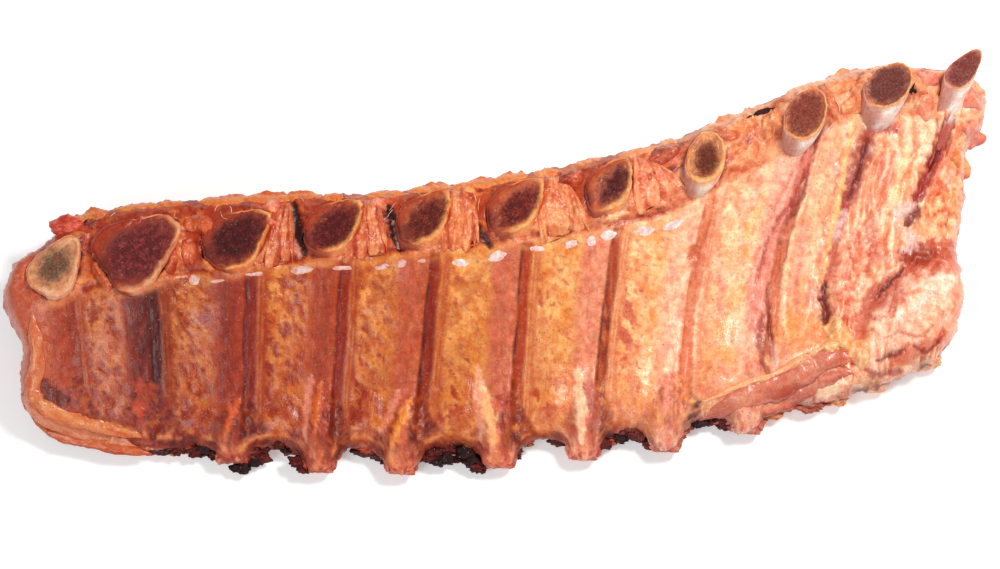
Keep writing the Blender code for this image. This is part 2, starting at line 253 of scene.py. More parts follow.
def scramble(*whole, seed=0):
    """A number from 0 to 1 for each tuple of whole numbers, the same on every run."""
    mixed = np.full(np.shape(whole[0]), (seed * 0x9E3779B1 + 0x7F4A7C15) & 0xFFFFFFFF, np.uint64)
    limit = np.uint64(0xFFFFFFFF)
    for number in whole:
        mixed = mixed ^ (np.asarray(number).astype(np.int64).astype(np.uint64) & limit)
        mixed = (mixed * np.uint64(0x85EBCA6B)) & limit
        mixed = mixed ^ (mixed >> np.uint64(13))
        mixed = (mixed * np.uint64(0xC2B2AE35)) & limit
        mixed = mixed ^ (mixed >> np.uint64(16))
    return mixed / 2.0**32


def ripple(x, y, seed=0):
    """Gradient noise from about -1 to 1: every whole-numbered corner has a slope in a random
    direction, and the slopes are blended by smooth weights."""
    x, y = np.broadcast_arrays(np.asarray(x, float), np.asarray(y, float))
    left, low = np.floor(x), np.floor(y)
    fx, fy = x - left, y - low
    wx, wy = fx * fx * fx * (fx * (fx * 6 - 15) + 10), fy * fy * fy * (fy * (fy * 6 - 15) + 10)
    total = np.zeros_like(x)
    for cx in (0, 1):
        for cy in (0, 1):
            turn = 2 * math.pi * scramble(left + cx, low + cy, seed=seed)
            slope = np.cos(turn) * (fx - cx) + np.sin(turn) * (fy - cy)
            total += slope * (wx if cx else 1 - wx) * (wy if cy else 1 - wy)
    return total * 1.6


def rough(x, y, seed=0, octaves=3, gain=0.55):
    """Ripples of halving size and falling height, added up."""
    total, size, whole = 0, 1.0, 0
    for k in range(octaves):
        total = total + size * ripple(np.asarray(x) * 2**k, np.asarray(y) * 2**k, seed + 17 * k)
        whole += size
        size *= gain
    return total / whole * 1.3


def strands(x, y, seed=0):
    """Fine lines, 1 on a line and falling to 0 beside it: where a ripple crosses zero."""
    return np.clip(1 - np.abs(ripple(x, y, seed)) * 3.2, 0, 1)


def crumple(x, y, seed=0):
    """Folds of a crumpled skin: 0 in the winding creases and 1 on the bulges between them. The
    places are pushed about by one ripple before two others are folded at their zero."""
    wx, wy = x + 0.8 * ripple(x / 1.6, y / 1.6, seed), y + 0.8 * ripple(x / 1.6, y / 1.6, seed + 1)
    big, small = np.abs(ripple(wx, wy, seed + 2)), np.abs(ripple(wx * 2.2, wy * 2.2, seed + 3))
    return np.clip(1.5 * big + 0.7 * small, 0, 1)


def pebbles(x, y, seed=0):
    """The distance to the nearest of scattered points, one to a unit square, how much farther
    the next one is, and a random number for the nearest."""
    left, low = np.floor(x), np.floor(y)
    first, second = np.full(np.shape(x), 9.0), np.full(np.shape(x), 9.0)
    label = np.zeros(np.shape(x))
    for cx in (-1, 0, 1):
        for cy in (-1, 0, 1):
            px = left + cx + scramble(left + cx, low + cy, seed=seed)
            py = low + cy + scramble(left + cx, low + cy, seed=seed + 1)
            far = np.hypot(x - px, y - py)
            nearer = far < first
            second = np.where(nearer, first, np.minimum(second, far))
            label = np.where(nearer, scramble(left + cx, low + cy, seed=seed + 2), label)
            first = np.where(nearer, far, first)
    return first, second - first, label


# ------------------------------------------------------------------ colours


def tone(red, green, blue):
    """A colour given from 0 to 255 as a screen shows it, made linear."""
    c = np.array([red, green, blue]) / 255
    return np.where(c <= 0.04045, c / 12.92, ((c + 0.055) / 1.055) ** 2.4)


def along_rack(rib, *stops):
    """A colour that changes along the rack, from stops of a rib number and a tone."""
    at = [stop[0] for stop in stops]
    tones = np.array([tone(*stop[1]) for stop in stops])
    return np.stack([np.interp(rib, at, tones[:, k]) for k in range(3)], axis=-1)


def lay(under, over, mask):
    """The colour over laid on the colour under where the mask is 1."""
    mask = np.clip(mask, 0, 1)[..., None]
    return under * (1 - mask) + over * mask


# How strongly the smoke deepens a colour along the rack: exponents for its red, green and blue.
SMOKE = (
    (-215, 1.12, 1.22, 1.26), (-150, 1.2, 1.38, 1.42), (-20, 1.2, 1.4, 1.44), (30, 1.12, 1.24, 1.2),
    (75, 1.0, 1.05, 0.98), (150, 0.98, 0.99, 0.9), (215, 0.98, 1.02, 1.0),
)
smoke_at = [smooth_curve([(stop[0], stop[1 + k]) for stop in SMOKE]) for k in range(3)]

# ------------------------------------------------------------------ meshes


class Pile:
    """Closed skins gathered into one mesh, each with its colour, wetness and length map."""

    def __init__(self, smoked=1.0):
        self.smoked = smoked
        self.points, self.faces, self.tints, self.masks, self.maps = [], [], [], [], []
        self.count = 0

    def add(self, points, faces, tint, masks, surface_map):
        """points (n, 3) in millimetres, faces as a list of index arrays, tint (n, 3), masks
        (n, 3) for wetness, grain and net, and surface_map (n, 2) in millimetres. The smoke,
        which deepens every colour, is strongest on the left."""
        smoke = np.stack([at(points[:, 0]) for at in smoke_at], axis=-1)
        tint = np.clip(tint, 0.001, 1) ** (1 + (smoke - 1) * self.smoked)
        corners = np.concatenate([np.stack([f[:, 0], f[:, k], f[:, k + 1]], 1)
                                  for f in faces for k in range(1, f.shape[1] - 1)])
        if np.linalg.det(points[corners]).sum() < 0:
            faces = [f[:, ::-1] for f in faces]
        self.points.append(points)
        self.faces += [f + self.count for f in faces]
        self.tints.append(tint)
        self.masks.append(masks)
        self.maps.append(surface_map)
        self.count += len(points)

    def add_grid(self, grid, tint, masks=(0.5, 0, 0), surface_map=None):
        """A skin over rings of points, (rings, sides, 3), closed round each ring and by a pole
        at the middle of the first and of the last ring."""
        rings, sides, _ = grid.shape
        tint = np.broadcast_to(tint, grid.shape)
        masks = np.broadcast_to(np.asarray(masks, float), grid.shape)
        if surface_map is None:
            length = np.linalg.norm(np.diff(grid.mean(axis=1), axis=0), axis=1)
            length = np.concatenate([[0], np.cumsum(length)])
            round_about = np.abs(np.linspace(-1, 1, sides, endpoint=False))
            radius = np.linalg.norm(grid - grid.mean(axis=1, keepdims=True), axis=2).mean()
            surface_map = np.stack(np.broadcast_arrays(
                round_about[None, :] * math.pi * radius, length[:, None]), axis=-1)
        poles = [grid[0].mean(axis=0), grid[-1].mean(axis=0)]
        points = np.concatenate([grid.reshape(-1, 3), poles])
        ends = [(tint, 3), (masks, 3), (surface_map, 2)]
        tint, masks, surface_map = (
            np.concatenate([a.reshape(-1, n), [a[0].mean(axis=0)], [a[-1].mean(axis=0)]])
            for a, n in ends
        )
        index = np.arange(rings * sides).reshape(rings, sides)
        after = np.roll(index, -1, axis=1)
        quads = np.stack([index[:-1], after[:-1], after[1:], index[1:]], axis=-1).reshape(-1, 4)
        first = np.stack([after[0], index[0], np.full(sides, rings * sides)], axis=-1)
        last = np.stack([index[-1], after[-1], np.full(sides, rings * sides + 1)], axis=-1)
        self.add(points, [quads, first, last], tint, masks, surface_map)

    def finish(self, name, material):
        """Makes the mesh object, in metres, smooth, with its attributes, riding on the body."""
        points = np.concatenate(self.points) * MM
        tints = np.concatenate(self.tints)
        masks, maps = np.concatenate(self.masks), np.concatenate(self.maps)
        mesh = bpy.data.meshes.new(name)
        mesh.vertices.add(len(points))
        mesh.vertices.foreach_set("co", points.astype(np.float32).ravel())
        corners = np.concatenate([f.ravel() for f in self.faces]).astype(np.int32)
        sizes = np.concatenate([np.full(len(f), f.shape[1]) for f in self.faces])
        starts = np.concatenate([[0], np.cumsum(sizes)[:-1]]).astype(np.int32)
        mesh.loops.add(len(corners))
        mesh.loops.foreach_set("vertex_index", corners)
        mesh.polygons.add(len(sizes))
        mesh.polygons.foreach_set("loop_start", starts)
        mesh.update(calc_edges=True)
        colour = mesh.color_attributes.new(name="tint", type="FLOAT_COLOR", domain="POINT")
        rgba = np.concatenate([np.clip(tints, 0, 1), np.ones((len(tints), 1))], axis=1)
        colour.data.foreach_set("color", rgba.astype(np.float32).ravel())
        for k, mask_name in enumerate(("wet", "grain", "net")):
            attribute = mesh.attributes.new(name=mask_name, type="FLOAT", domain="POINT")
            attribute.data.foreach_set("value", masks[:, k].astype(np.float32))
        uv = mesh.uv_layers.new(name="along_ribs")
        uv.data.foreach_set("uv", (maps[corners] / 10).astype(np.float32).ravel())
        mesh.shade_smooth()
        mesh.materials.append(material)
        piece = bpy.data.objects.new(name, mesh)
        bpy.context.scene.collection.objects.link(piece)
        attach(piece, BODY)
        return piece


# ------------------------------------------------------------------ shader maths


class Shader:
    """A material's node tree, with one method that adds any node."""

    def __init__(self, name):
        self.material = bpy.data.materials.new(name)
        self.material.use_nodes = True
        self.tree = self.material.node_tree
        self.surface = self.tree.nodes["Principled BSDF"]

    def node(self, kind, settings=None, output=0, **sockets):
        """Adds a node: its settings first, then its sockets, by name or as i0, i1 and so on."""
        made = self.tree.nodes.new(kind)
        for key, value in (settings or {}).items():
            setattr(made, key, value)
        for key, value in sockets.items():
            place = int(key[1:]) if key[1:].isdigit() else key.replace("_", " ")
            self.plug(value, made.inputs[place])
        return Value(self, made.outputs[output])

    def plug(self, value, socket):
        if isinstance(value, Value):
            self.tree.links.new(value.socket, socket)
        else:
            socket.default_value = value

    def set(self, **sockets):
        for key, value in sockets.items():
            self.plug(value, self.surface.inputs[key.replace("_", " ")])

    def attribute(self, name, output="Fac"):
        made = self.tree.nodes.new("ShaderNodeAttribute")
        made.attribute_name = name
        return Value(self, made.outputs[output])

    def mix(self, under, over, mask, mode="MIX"):
        """Two colours mixed by a mask."""
        settings = dict(data_type="RGBA", blend_type=mode, clamp_factor=True)
        return self.node("ShaderNodeMix", settings, output=2, i0=mask, i6=under, i7=over)


class Value:
    """A socket on which Python's operators add Math nodes."""

    def __init__(self, shader, socket):
        self.shader, self.socket = shader, socket

    def math(self, operation, *others, swap=False):
        first, rest = (others[0], (self,) + others[1:]) if swap else (self, others)
        sockets = {f"i{k}": value for k, value in enumerate((first, *rest))}
        return self.shader.node("ShaderNodeMath", dict(operation=operation), **sockets)

    def __add__(self, other):
        return self.math("ADD", other)

    __radd__ = __add__

    def __mul__(self, other):
        return self.math("MULTIPLY", other)

    __rmul__ = __mul__

    def __sub__(self, other):
        return self.math("SUBTRACT", other)

    def __rsub__(self, other):
        return self.math("SUBTRACT", other, swap=True)

    def __pow__(self, other):
        return self.math("POWER", other)

    def between(self, low, high):
        """0 below low, 1 above high, and smooth between them."""
        return self.shader.node(
            "ShaderNodeMapRange", dict(interpolation_type="SMOOTHSTEP"), i0=self, i1=low, i2=high
        )


def rgba(*colour):
    return (*tone(*colour), 1.0)


# ------------------------------------------------------------------ paths and lines on the slab


def through(points, count):
    """A smooth path of count points through the given ones, as Catmull and Rom's cubics."""
    p = np.array(points, float)
    p = np.concatenate([2 * p[:1] - p[1:2], p, 2 * p[-1:] - p[-2:-1]])
    at = np.linspace(0, len(p) - 3 - 1e-9, count)
    k, t = at.astype(int), (at % 1)[:, None]
    a, b, c, d = p[k], p[k + 1], p[k + 2], p[k + 3]
    return b + t / 2 * (c - a + t * (2 * a - 5 * b + 4 * c - d + t * (3 * b - a - 3 * c + d)))


def off_path(x, y, path):
    """How far points lie from a path, and where along it, from 0 to 1."""
    path = through(path, 4 * len(path))
    steps = np.diff(path, axis=0)
    lengths = np.hypot(*steps.T)
    run = np.concatenate([[0], np.cumsum(lengths)])
    nearest, along = np.full(np.shape(x), 1e9), np.zeros(np.shape(x))
    for k, ((sx, sy), (dx, dy)) in enumerate(zip(path[:-1], steps)):
        t = np.clip(((x - sx) * dx + (y - sy) * dy) / (dx * dx + dy * dy), 0, 1)
        far = np.hypot(x - sx - t * dx, y - sy - t * dy)
        closer = far < nearest
        nearest = np.where(closer, far, nearest)
        along = np.where(closer, (run[k] + t * lengths[k]) / run[-1], along)
    return nearest, along


def stroke(x, y, path, half, seed=1, ragged=0.5):
    """1 along a path, fading out a half-width from it and towards its two ends."""
    stray = min(1.5, 0.6 + 0.4 * half)
    far, along = off_path(x + stray * rough(x / 4, y / 4, seed + 3), y + stray * rough(x / 4, y / 4, seed + 4), path)
    width = half * (1 + ragged * rough(x / 2.5, y / 2.5, seed)) * (0.35 + np.sin(math.pi * along) ** 0.5)
    return 1 - ease(far / np.maximum(width, 0.05), 0.45, 1.3)


def blotch(x, y, at, half, turn=0, seed=1, ragged=0.4):
    """1 inside a ragged oval round a place, and 0 outside it."""
    c, s = math.cos(math.radians(turn)), math.sin(math.radians(turn))
    along = ((x - at[0]) * c + (y - at[1]) * s) / half[0]
    aside = ((y - at[1]) * c - (x - at[0]) * s) / half[1]
    return 1 - ease(np.hypot(along, aside) + ragged * rough(x / 4, y / 4, seed), 0.65, 1.15)


def patches(x, y, size, seed, low=0.0, high=0.5):
    """Soft blots of about the given size, 1 on a blot and 0 between them."""
    return ease(rough(x / size, y / size, seed), low, high)


# ------------------------------------------------------------------ the bones' lines

# How much of each bone shows below its sawn face, and how wide the meat swells over it.
BARE_BELOW_FACE = (-1.5, -2.0, -2.0, -1.5, -1.5, -1.5, -1.0, 0.0, 4.0, 4.0, 5.0)
SWELL_OVER_BONE = (12, 16, 15, 14, 14, 14, 12, 11, 13, 13, 9)

# How far below a face's level the meat meets it, how fast it falls away from it, and how much
# lower it stays on the side of the front edge.
COLLAR_DROP = (2.2, 1.6, 1.2, 1.2, 1.2, 1.2, 1.6, 3.5, 5.0, 5.5, 7.0)
COLLAR_FALL = 0.42
COLLAR_LOWER = (0, 0, 0, 0, 0, 0, 0, 4.0, 4.5, 4.5, 5.0)
FACE_LEAN = (0, 1.1, 1.1, 1.1, 1.1, 1.1, 1.1, 0, 0, 0, 0)


def rib_controls(number):
    """The points that a rib's middle line goes through: across, x, y and height."""
    rib = RIBS[number - 1]
    rise_at = min(RISE_FROM, rib["face_at"] - RISE_LENGTH)
    across = np.array([*BONE_FOLLOWS, rise_at, rib["face_at"]])
    skin = base_height(number, across) + rib_space_at(0) * relief_across_at(across)
    x, y = plan(number, across)
    steepness = np.gradient(skin, np.hypot(x - x[0], y - y[0]))
    height = skin - (COVER + SHAFT_HALF[1]) * np.hypot(1, steepness)
    height[-1] = rib["face_z"]
    return across, x, y, height


def rib_line(number):
    """The rib's middle line as a function of the share of its length, from stub to sawn face."""
    _, x, y, height = rib_controls(number)
    y[0] = y[0] - RIBS[number - 1]["stub"]
    length = np.concatenate([[0], np.cumsum(np.hypot(np.hypot(np.diff(x), np.diff(y)), np.diff(height)))])
    share = length / length[-1]
    return [smooth_curve(list(zip(share, values))) for values in (x, y, height)]


def face_distance(number, x, y):
    """0 at the middle of a sawn face, 1 on its outline and more outside it."""
    rib = RIBS[number - 1]
    at_x, at_y = plan(number, rib["face_at"])
    c, s = math.cos(math.radians(rib["turn"])), math.sin(math.radians(rib["turn"]))
    along = ((x - at_x) * c + (y - at_y) * s) / rib["half"][0]
    aside = ((y - at_y) * c - (x - at_x) * s) / rib["half"][1]
    return np.hypot(along, aside)


def larger(a, b, soft=0.8):
    """The larger of two numbers, rounded where they meet."""
    return (a + b + np.hypot(a - b, soft)) / 2


def lower_right_of_face(number, x, y):
    """From -1 at a face's upper left to 1 at its lower right, and further outside it."""
    rib = RIBS[number - 1]
    at_x, at_y = plan(number, rib["face_at"])
    return (0.7 * (x - at_x) - 0.71 * (y - at_y)) * 1.4 / math.hypot(*rib["half"])


def climb_over_bones(rib, across, x, y):
    """How far the meat rises above the frame's, to cover the bones and to meet their faces."""
    total, here = np.zeros(np.shape(rib)), inner_height(rib, across)
    for number in range(1, LAST):
        stations, _, line_y, height = rib_controls(number)
        bone_top = smooth_curve(list(zip(stations, height)))(across) + SHAFT_HALF[1] + 1.6
        ridge = inner_height(np.full_like(across, number), across)
        face = RIBS[number - 1]
        turn = math.radians(face["turn"])
        reach = math.hypot(face["half"][0] * math.sin(turn), face["half"][1] * math.cos(turn))
        bare = (reach + BARE_BELOW_FACE[number - 1]) / (line_y[-1] - line_y[0]) * face["face_at"]
        ends = 1 - ease(across, face["face_at"] - bare - 0.03, face["face_at"] - bare + 0.01)
        over = np.clip(bone_top - ridge, 0, 16) * ends
        total = larger(total, over * bell(40 * (rib - number), 0, SWELL_OVER_BONE[number - 1]), 0.1)
        far = (face_distance(number, x, y) - 1) * math.sqrt(face["half"][0] * face["half"][1])
        lower_right = lower_right_of_face(number, x, y)
        lower = ease((plan(number, face["face_at"])[1] - y) / reach, 0.1, 0.9)
        collar = face["face_z"] - COLLAR_DROP[number - 1] - COLLAR_LOWER[number - 1] * lower
        collar = collar + FACE_LEAN[number - 1] * np.clip(lower_right, -1.2, 1.2)
        collar = collar - COLLAR_FALL * np.maximum(far, 0) - 2.4 * np.maximum(-far - 0.6, 0)
        total = larger(total, collar - here, 0.9)
    return total


# ------------------------------------------------------------------ the inner side's colours

# The upper edge of the smooth membrane, below the sawn faces, as (x, y).
HEAD_LINE = (
    (-215, -19), (-186, -15), (-158, -11), (-129, -6), (-90, -1.5), (-38, 3), (0, 7), (30, 11.5),
    (60, 17), (73, 22), (100, 36), (130, 52), (165, 66), (215, 74),
)
head_line_at = smooth_curve(HEAD_LINE)

# Strokes painted on the slab: path, half-width, tone, how strongly, and how far they stand out.
STROKES = (
    # bare fat and bone on the ribs near the front edge
    (((-155, -60), (-153, -66)), 1.8, (216, 106, 48), 0.7, 0.2),
    (((-111, -58), (-114, -65), (-117, -73)), 1.4, (220, 122, 54), 0.8, 0.4),
    (((-77, -51), (-78, -62), (-79, -72)), 1.6, (226, 136, 66), 0.8, 0.5),
    (((-80, -48), (-82, -60), (-83, -74)), 1.3, (240, 176, 160), 0.7, 0.4),
    (((-38, -58), (-42, -67), (-46, -76)), 1.9, (246, 178, 98), 0.85, 0.5),
    (((-43, -54), (-47, -64), (-51, -72)), 1.2, (240, 176, 156), 0.7, 0.4),
    (((-8, -52), (-5, -64), (-3, -76)), 2.4, (253, 206, 154), 0.9, 0.6),
    (((-9, -44), (-9, -58), (-8, -74)), 1.6, (246, 196, 176), 0.6, 0.3),
    (((33, -44), (34, -58), (35, -72)), 2.2, (254, 214, 174), 0.9, 0.6),
    (((38, -48), (40, -60), (41, -70)), 1.8, (206, 130, 118), 0.6, -0.2),
    (((45, 15.5), (49, 17), (54, 19)), 0.8, (255, 222, 172), 0.8, 0.4),
    (((80, -66), (83, -63), (85, -59)), 1.5, (66, 22, 20), 0.9, -1.2),
    (((82, -67), (86, -63), (87, -59)), 0.4, (250, 206, 176), 0.8, 0.4),
    # black cracks beside the sawn faces, their black painted shade deep in the cracks, with pale sinew along them
    (((-88, 25), (-87, 16), (-85, 8), (-82, 0)), 2.2, (46, 12, 14), 0.95, -1.2),
    (((-90, 24), (-89, 14), (-87, 4), (-85, -2)), 0.7, (226, 178, 172), 0.85, 0.3),
    (((-49, 24), (-46, 17), (-44, 9), (-42, 2)), 2.0, (40, 10, 12), 0.95, -1.2),
    (((-46, 19), (-44, 10), (-43, 3)), 0.5, (232, 190, 184), 0.85, 0.4),
    (((-56, 29), (-50, 28), (-44, 28), (-38, 29)), 0.6, (240, 196, 180), 0.85, 0.5),
    (((-12, 18), (-8, 10), (-4, 4)), 1.4, (60, 15, 15), 0.9, -0.8),
    (((28, 30), (30, 22), (33, 15)), 0.8, (110, 40, 35), 0.8, -0.8),
    # the eighth rib's groove, the pit beside it and the curl of membrane
    (((94, 22), (90, 14), (86, 0), (82, -18), (80, -36), (80, -54)), 2.2, (228, 140, 98), 0.8, -0.8),
    (((91, 18), (86, 6), (83, -8)), 0.6, (190, 92, 56), 0.7, -0.4),
    (((88, -4), (84, -22), (83, -44)), 0.7, (255, 216, 170), 0.7, 0.3),
    (((80, 2), (83, 4), (84, 7)), 1.6, (206, 108, 60), 0.9, -1.2),
    (((78, 3), (79, 6), (82, 8)), 0.8, (255, 206, 150), 0.9, 0.9),
    # the ninth rib: its groove, and the ragged pink membrane left of it
    (((137, 54), (133, 42), (129, 28), (121, 13), (119, 0), (115, -12), (116, -26), (117, -42)), 1.1, (136, 48, 28), 0.85, -1.3),
    (((133, 46), (125, 32), (118, 16), (113, 2), (110, -14), (110, -30)), 3.6, (226, 130, 102), 0.75, 1.0),
    (((131, 40), (126, 27), (116, 14), (113, 2), (109, -8)), 1.0, (172, 64, 46), 0.75, -0.8),
    (((127, 38), (119, 22), (112, 6), (108, -8), (107, -24)), 0.8, (250, 186, 160), 0.8, 0.6),
    (((113, -20), (111, -34), (114, -48)), 1.6, (150, 58, 40), 0.75, -0.8),
    (((116, -30), (117, -40), (116, -50)), 0.7, (230, 172, 160), 0.8, 0.4),
    (((126, 20), (120, 4), (118, -12), (119, -30)), 1.6, (226, 130, 80), 0.7, -0.3),
    (((132, 30), (125, 8), (122, -14), (123, -34)), 0.8, (255, 222, 168), 0.7, 0.3),
    (((130, 8), (127, -8), (128, -22)), 1.3, (226, 138, 112), 0.65, -0.3),
    (((134, -6), (132, -16)), 1.6, (224, 132, 108), 0.6, -0.2),
    # the tenth: a fold of dark membrane, and a yellow ridge left of it
    (((162, 60), (158, 53), (155, 44), (151, 33), (148, 24)), 3.6, (166, 60, 44), 0.85, -1.0),
    (((158, 54), (155, 42), (150, 28)), 1.0, (100, 26, 22), 0.85, -1.0),
    (((164, 52), (160, 42), (156, 30)), 0.8, (252, 176, 130), 0.8, 0.7),
    (((148, 22), (145, 12), (142, 0), (140, -8)), 1.8, (190, 80, 56), 0.8, -0.8),
    (((149, 24), (146, 18), (144, 12)), 1.6, (232, 200, 196), 0.85, 0.5),
    (((140, -6), (139, -14), (140, -22), (141, -30)), 1.9, (112, 22, 12), 0.95, -2.0),
    (((152, 62), (149, 48), (147, 34), (144, 20), (141, 8), (139, -4)), 1.0, (255, 200, 120), 0.9, 0.8),
    (((149, 56), (146, 42), (143, 28), (139, 14), (137, 0)), 0.5, (220, 130, 84), 0.7, -0.3),
    (((162, 60), (166, 57), (171, 57)), 1.6, (170, 64, 50), 0.85, -0.8),
    # red and yellow streaks between the tenth and the eleventh
    (((170, 48), (166, 36), (163, 22)), 1.1, (232, 126, 92), 0.8, -0.5),
    (((176, 50), (172, 38), (170, 26)), 1.4, (255, 212, 150), 0.8, 0.6),
    (((181, 52), (176, 40), (172, 30)), 0.7, (236, 140, 80), 0.8, -0.4),
    (((160, 24), (160, 12), (162, 2)), 2.2, (206, 110, 80), 0.7, -0.4),
    (((165, 12), (166, 2), (165, -8)), 0.9, (226, 120, 80), 0.8, -0.6),
    # the eleventh: a deep dark groove, and a dark pocket at its end
    (((195, 63), (192, 56), (188, 46), (184, 37), (179, 28)), 2.8, (158, 44, 32), 0.95, -1.8),
    (((192, 58), (188, 48), (185, 40)), 1.0, (104, 22, 20), 0.9, -1.0),
    (((199, 60), (194, 50), (189, 40), (186, 32)), 1.3, (240, 140, 104), 0.8, 0.7),
    (((181, 27), (178, 22), (175, 18)), 2.2, (122, 38, 36), 0.9, -1.4),
    # creases round the end flap; the dark one along its upper left is painted shadow
    (((153, -38), (154, -28), (158, -18), (165, -11), (172, -4), (178, 2)), 2.4, (196, 92, 60), 0.7, -1.8),
    (((160, -16), (165, -10), (170, -5), (174, -1)), 0.9, (112, 34, 24), 0.9, -0.6),
    (((150, -42), (160, -47), (172, -45)), 1.2, (170, 70, 50), 0.8, -0.8),
    (((160, -42), (167, -40), (173, -37)), 1.1, (132, 40, 28), 0.85, -1.2),
    (((176, -36), (183, -37), (189, -31)), 0.8, (150, 48, 28), 0.8, -1.0),
    (((163, -34), (170, -31), (178, -32), (186, -26)), 0.6, (206, 104, 68), 0.7, -0.6),
    (((166, -20), (173, -14), (182, -12), (192, -14)), 0.5, (222, 136, 100), 0.6, -0.4),
    (((170, 20), (175, 25), (180, 27)), 2.2, (240, 206, 196), 0.8, 0.5),
    (((176, 16), (177, 8), (172, 6)), 2.0, (236, 196, 184), 0.75, 0.4),
)


# Soft areas of colour on the end flap and the browned shoulder above it: place, half sizes,
# turn, tone and how strongly.
FLAP_AREAS = (
    ((179, -15), (26, 17), 50, (252, 200, 162), 0.9), ((165, -15), (12, 8), 50, (200, 104, 76), 0.85),
    ((178, -4), (15, 4), 32, (236, 156, 130), 0.7), ((188, -9), (9, 6), 30, (255, 230, 206), 0.8),
    ((178, -20), (3, 9), -50, (255, 226, 204), 0.7), ((170, -29), (8, 5), 40, (248, 190, 158), 0.7),
    ((192, -26), (8, 7), 60, (244, 156, 116), 0.8), ((196, -14), (3, 8), 0, (240, 150, 112), 0.7),
    ((177, -38), (16, 4), 22, (206, 96, 60), 0.8), ((188, -31), (5, 2), 55, (206, 80, 40), 0.8),
    ((186, 4), (17, 9), 4, (202, 98, 64), 1.0), ((180, 4), (8, 5.5), 10, (160, 62, 36), 0.9),
    ((196, 0), (7, 4), 0, (232, 134, 106), 0.7), ((188, 15), (14, 2.6), 3, (250, 186, 132), 0.85),
    ((192, 9.5), (10, 1.8), 0, (214, 110, 72), 0.8),
)


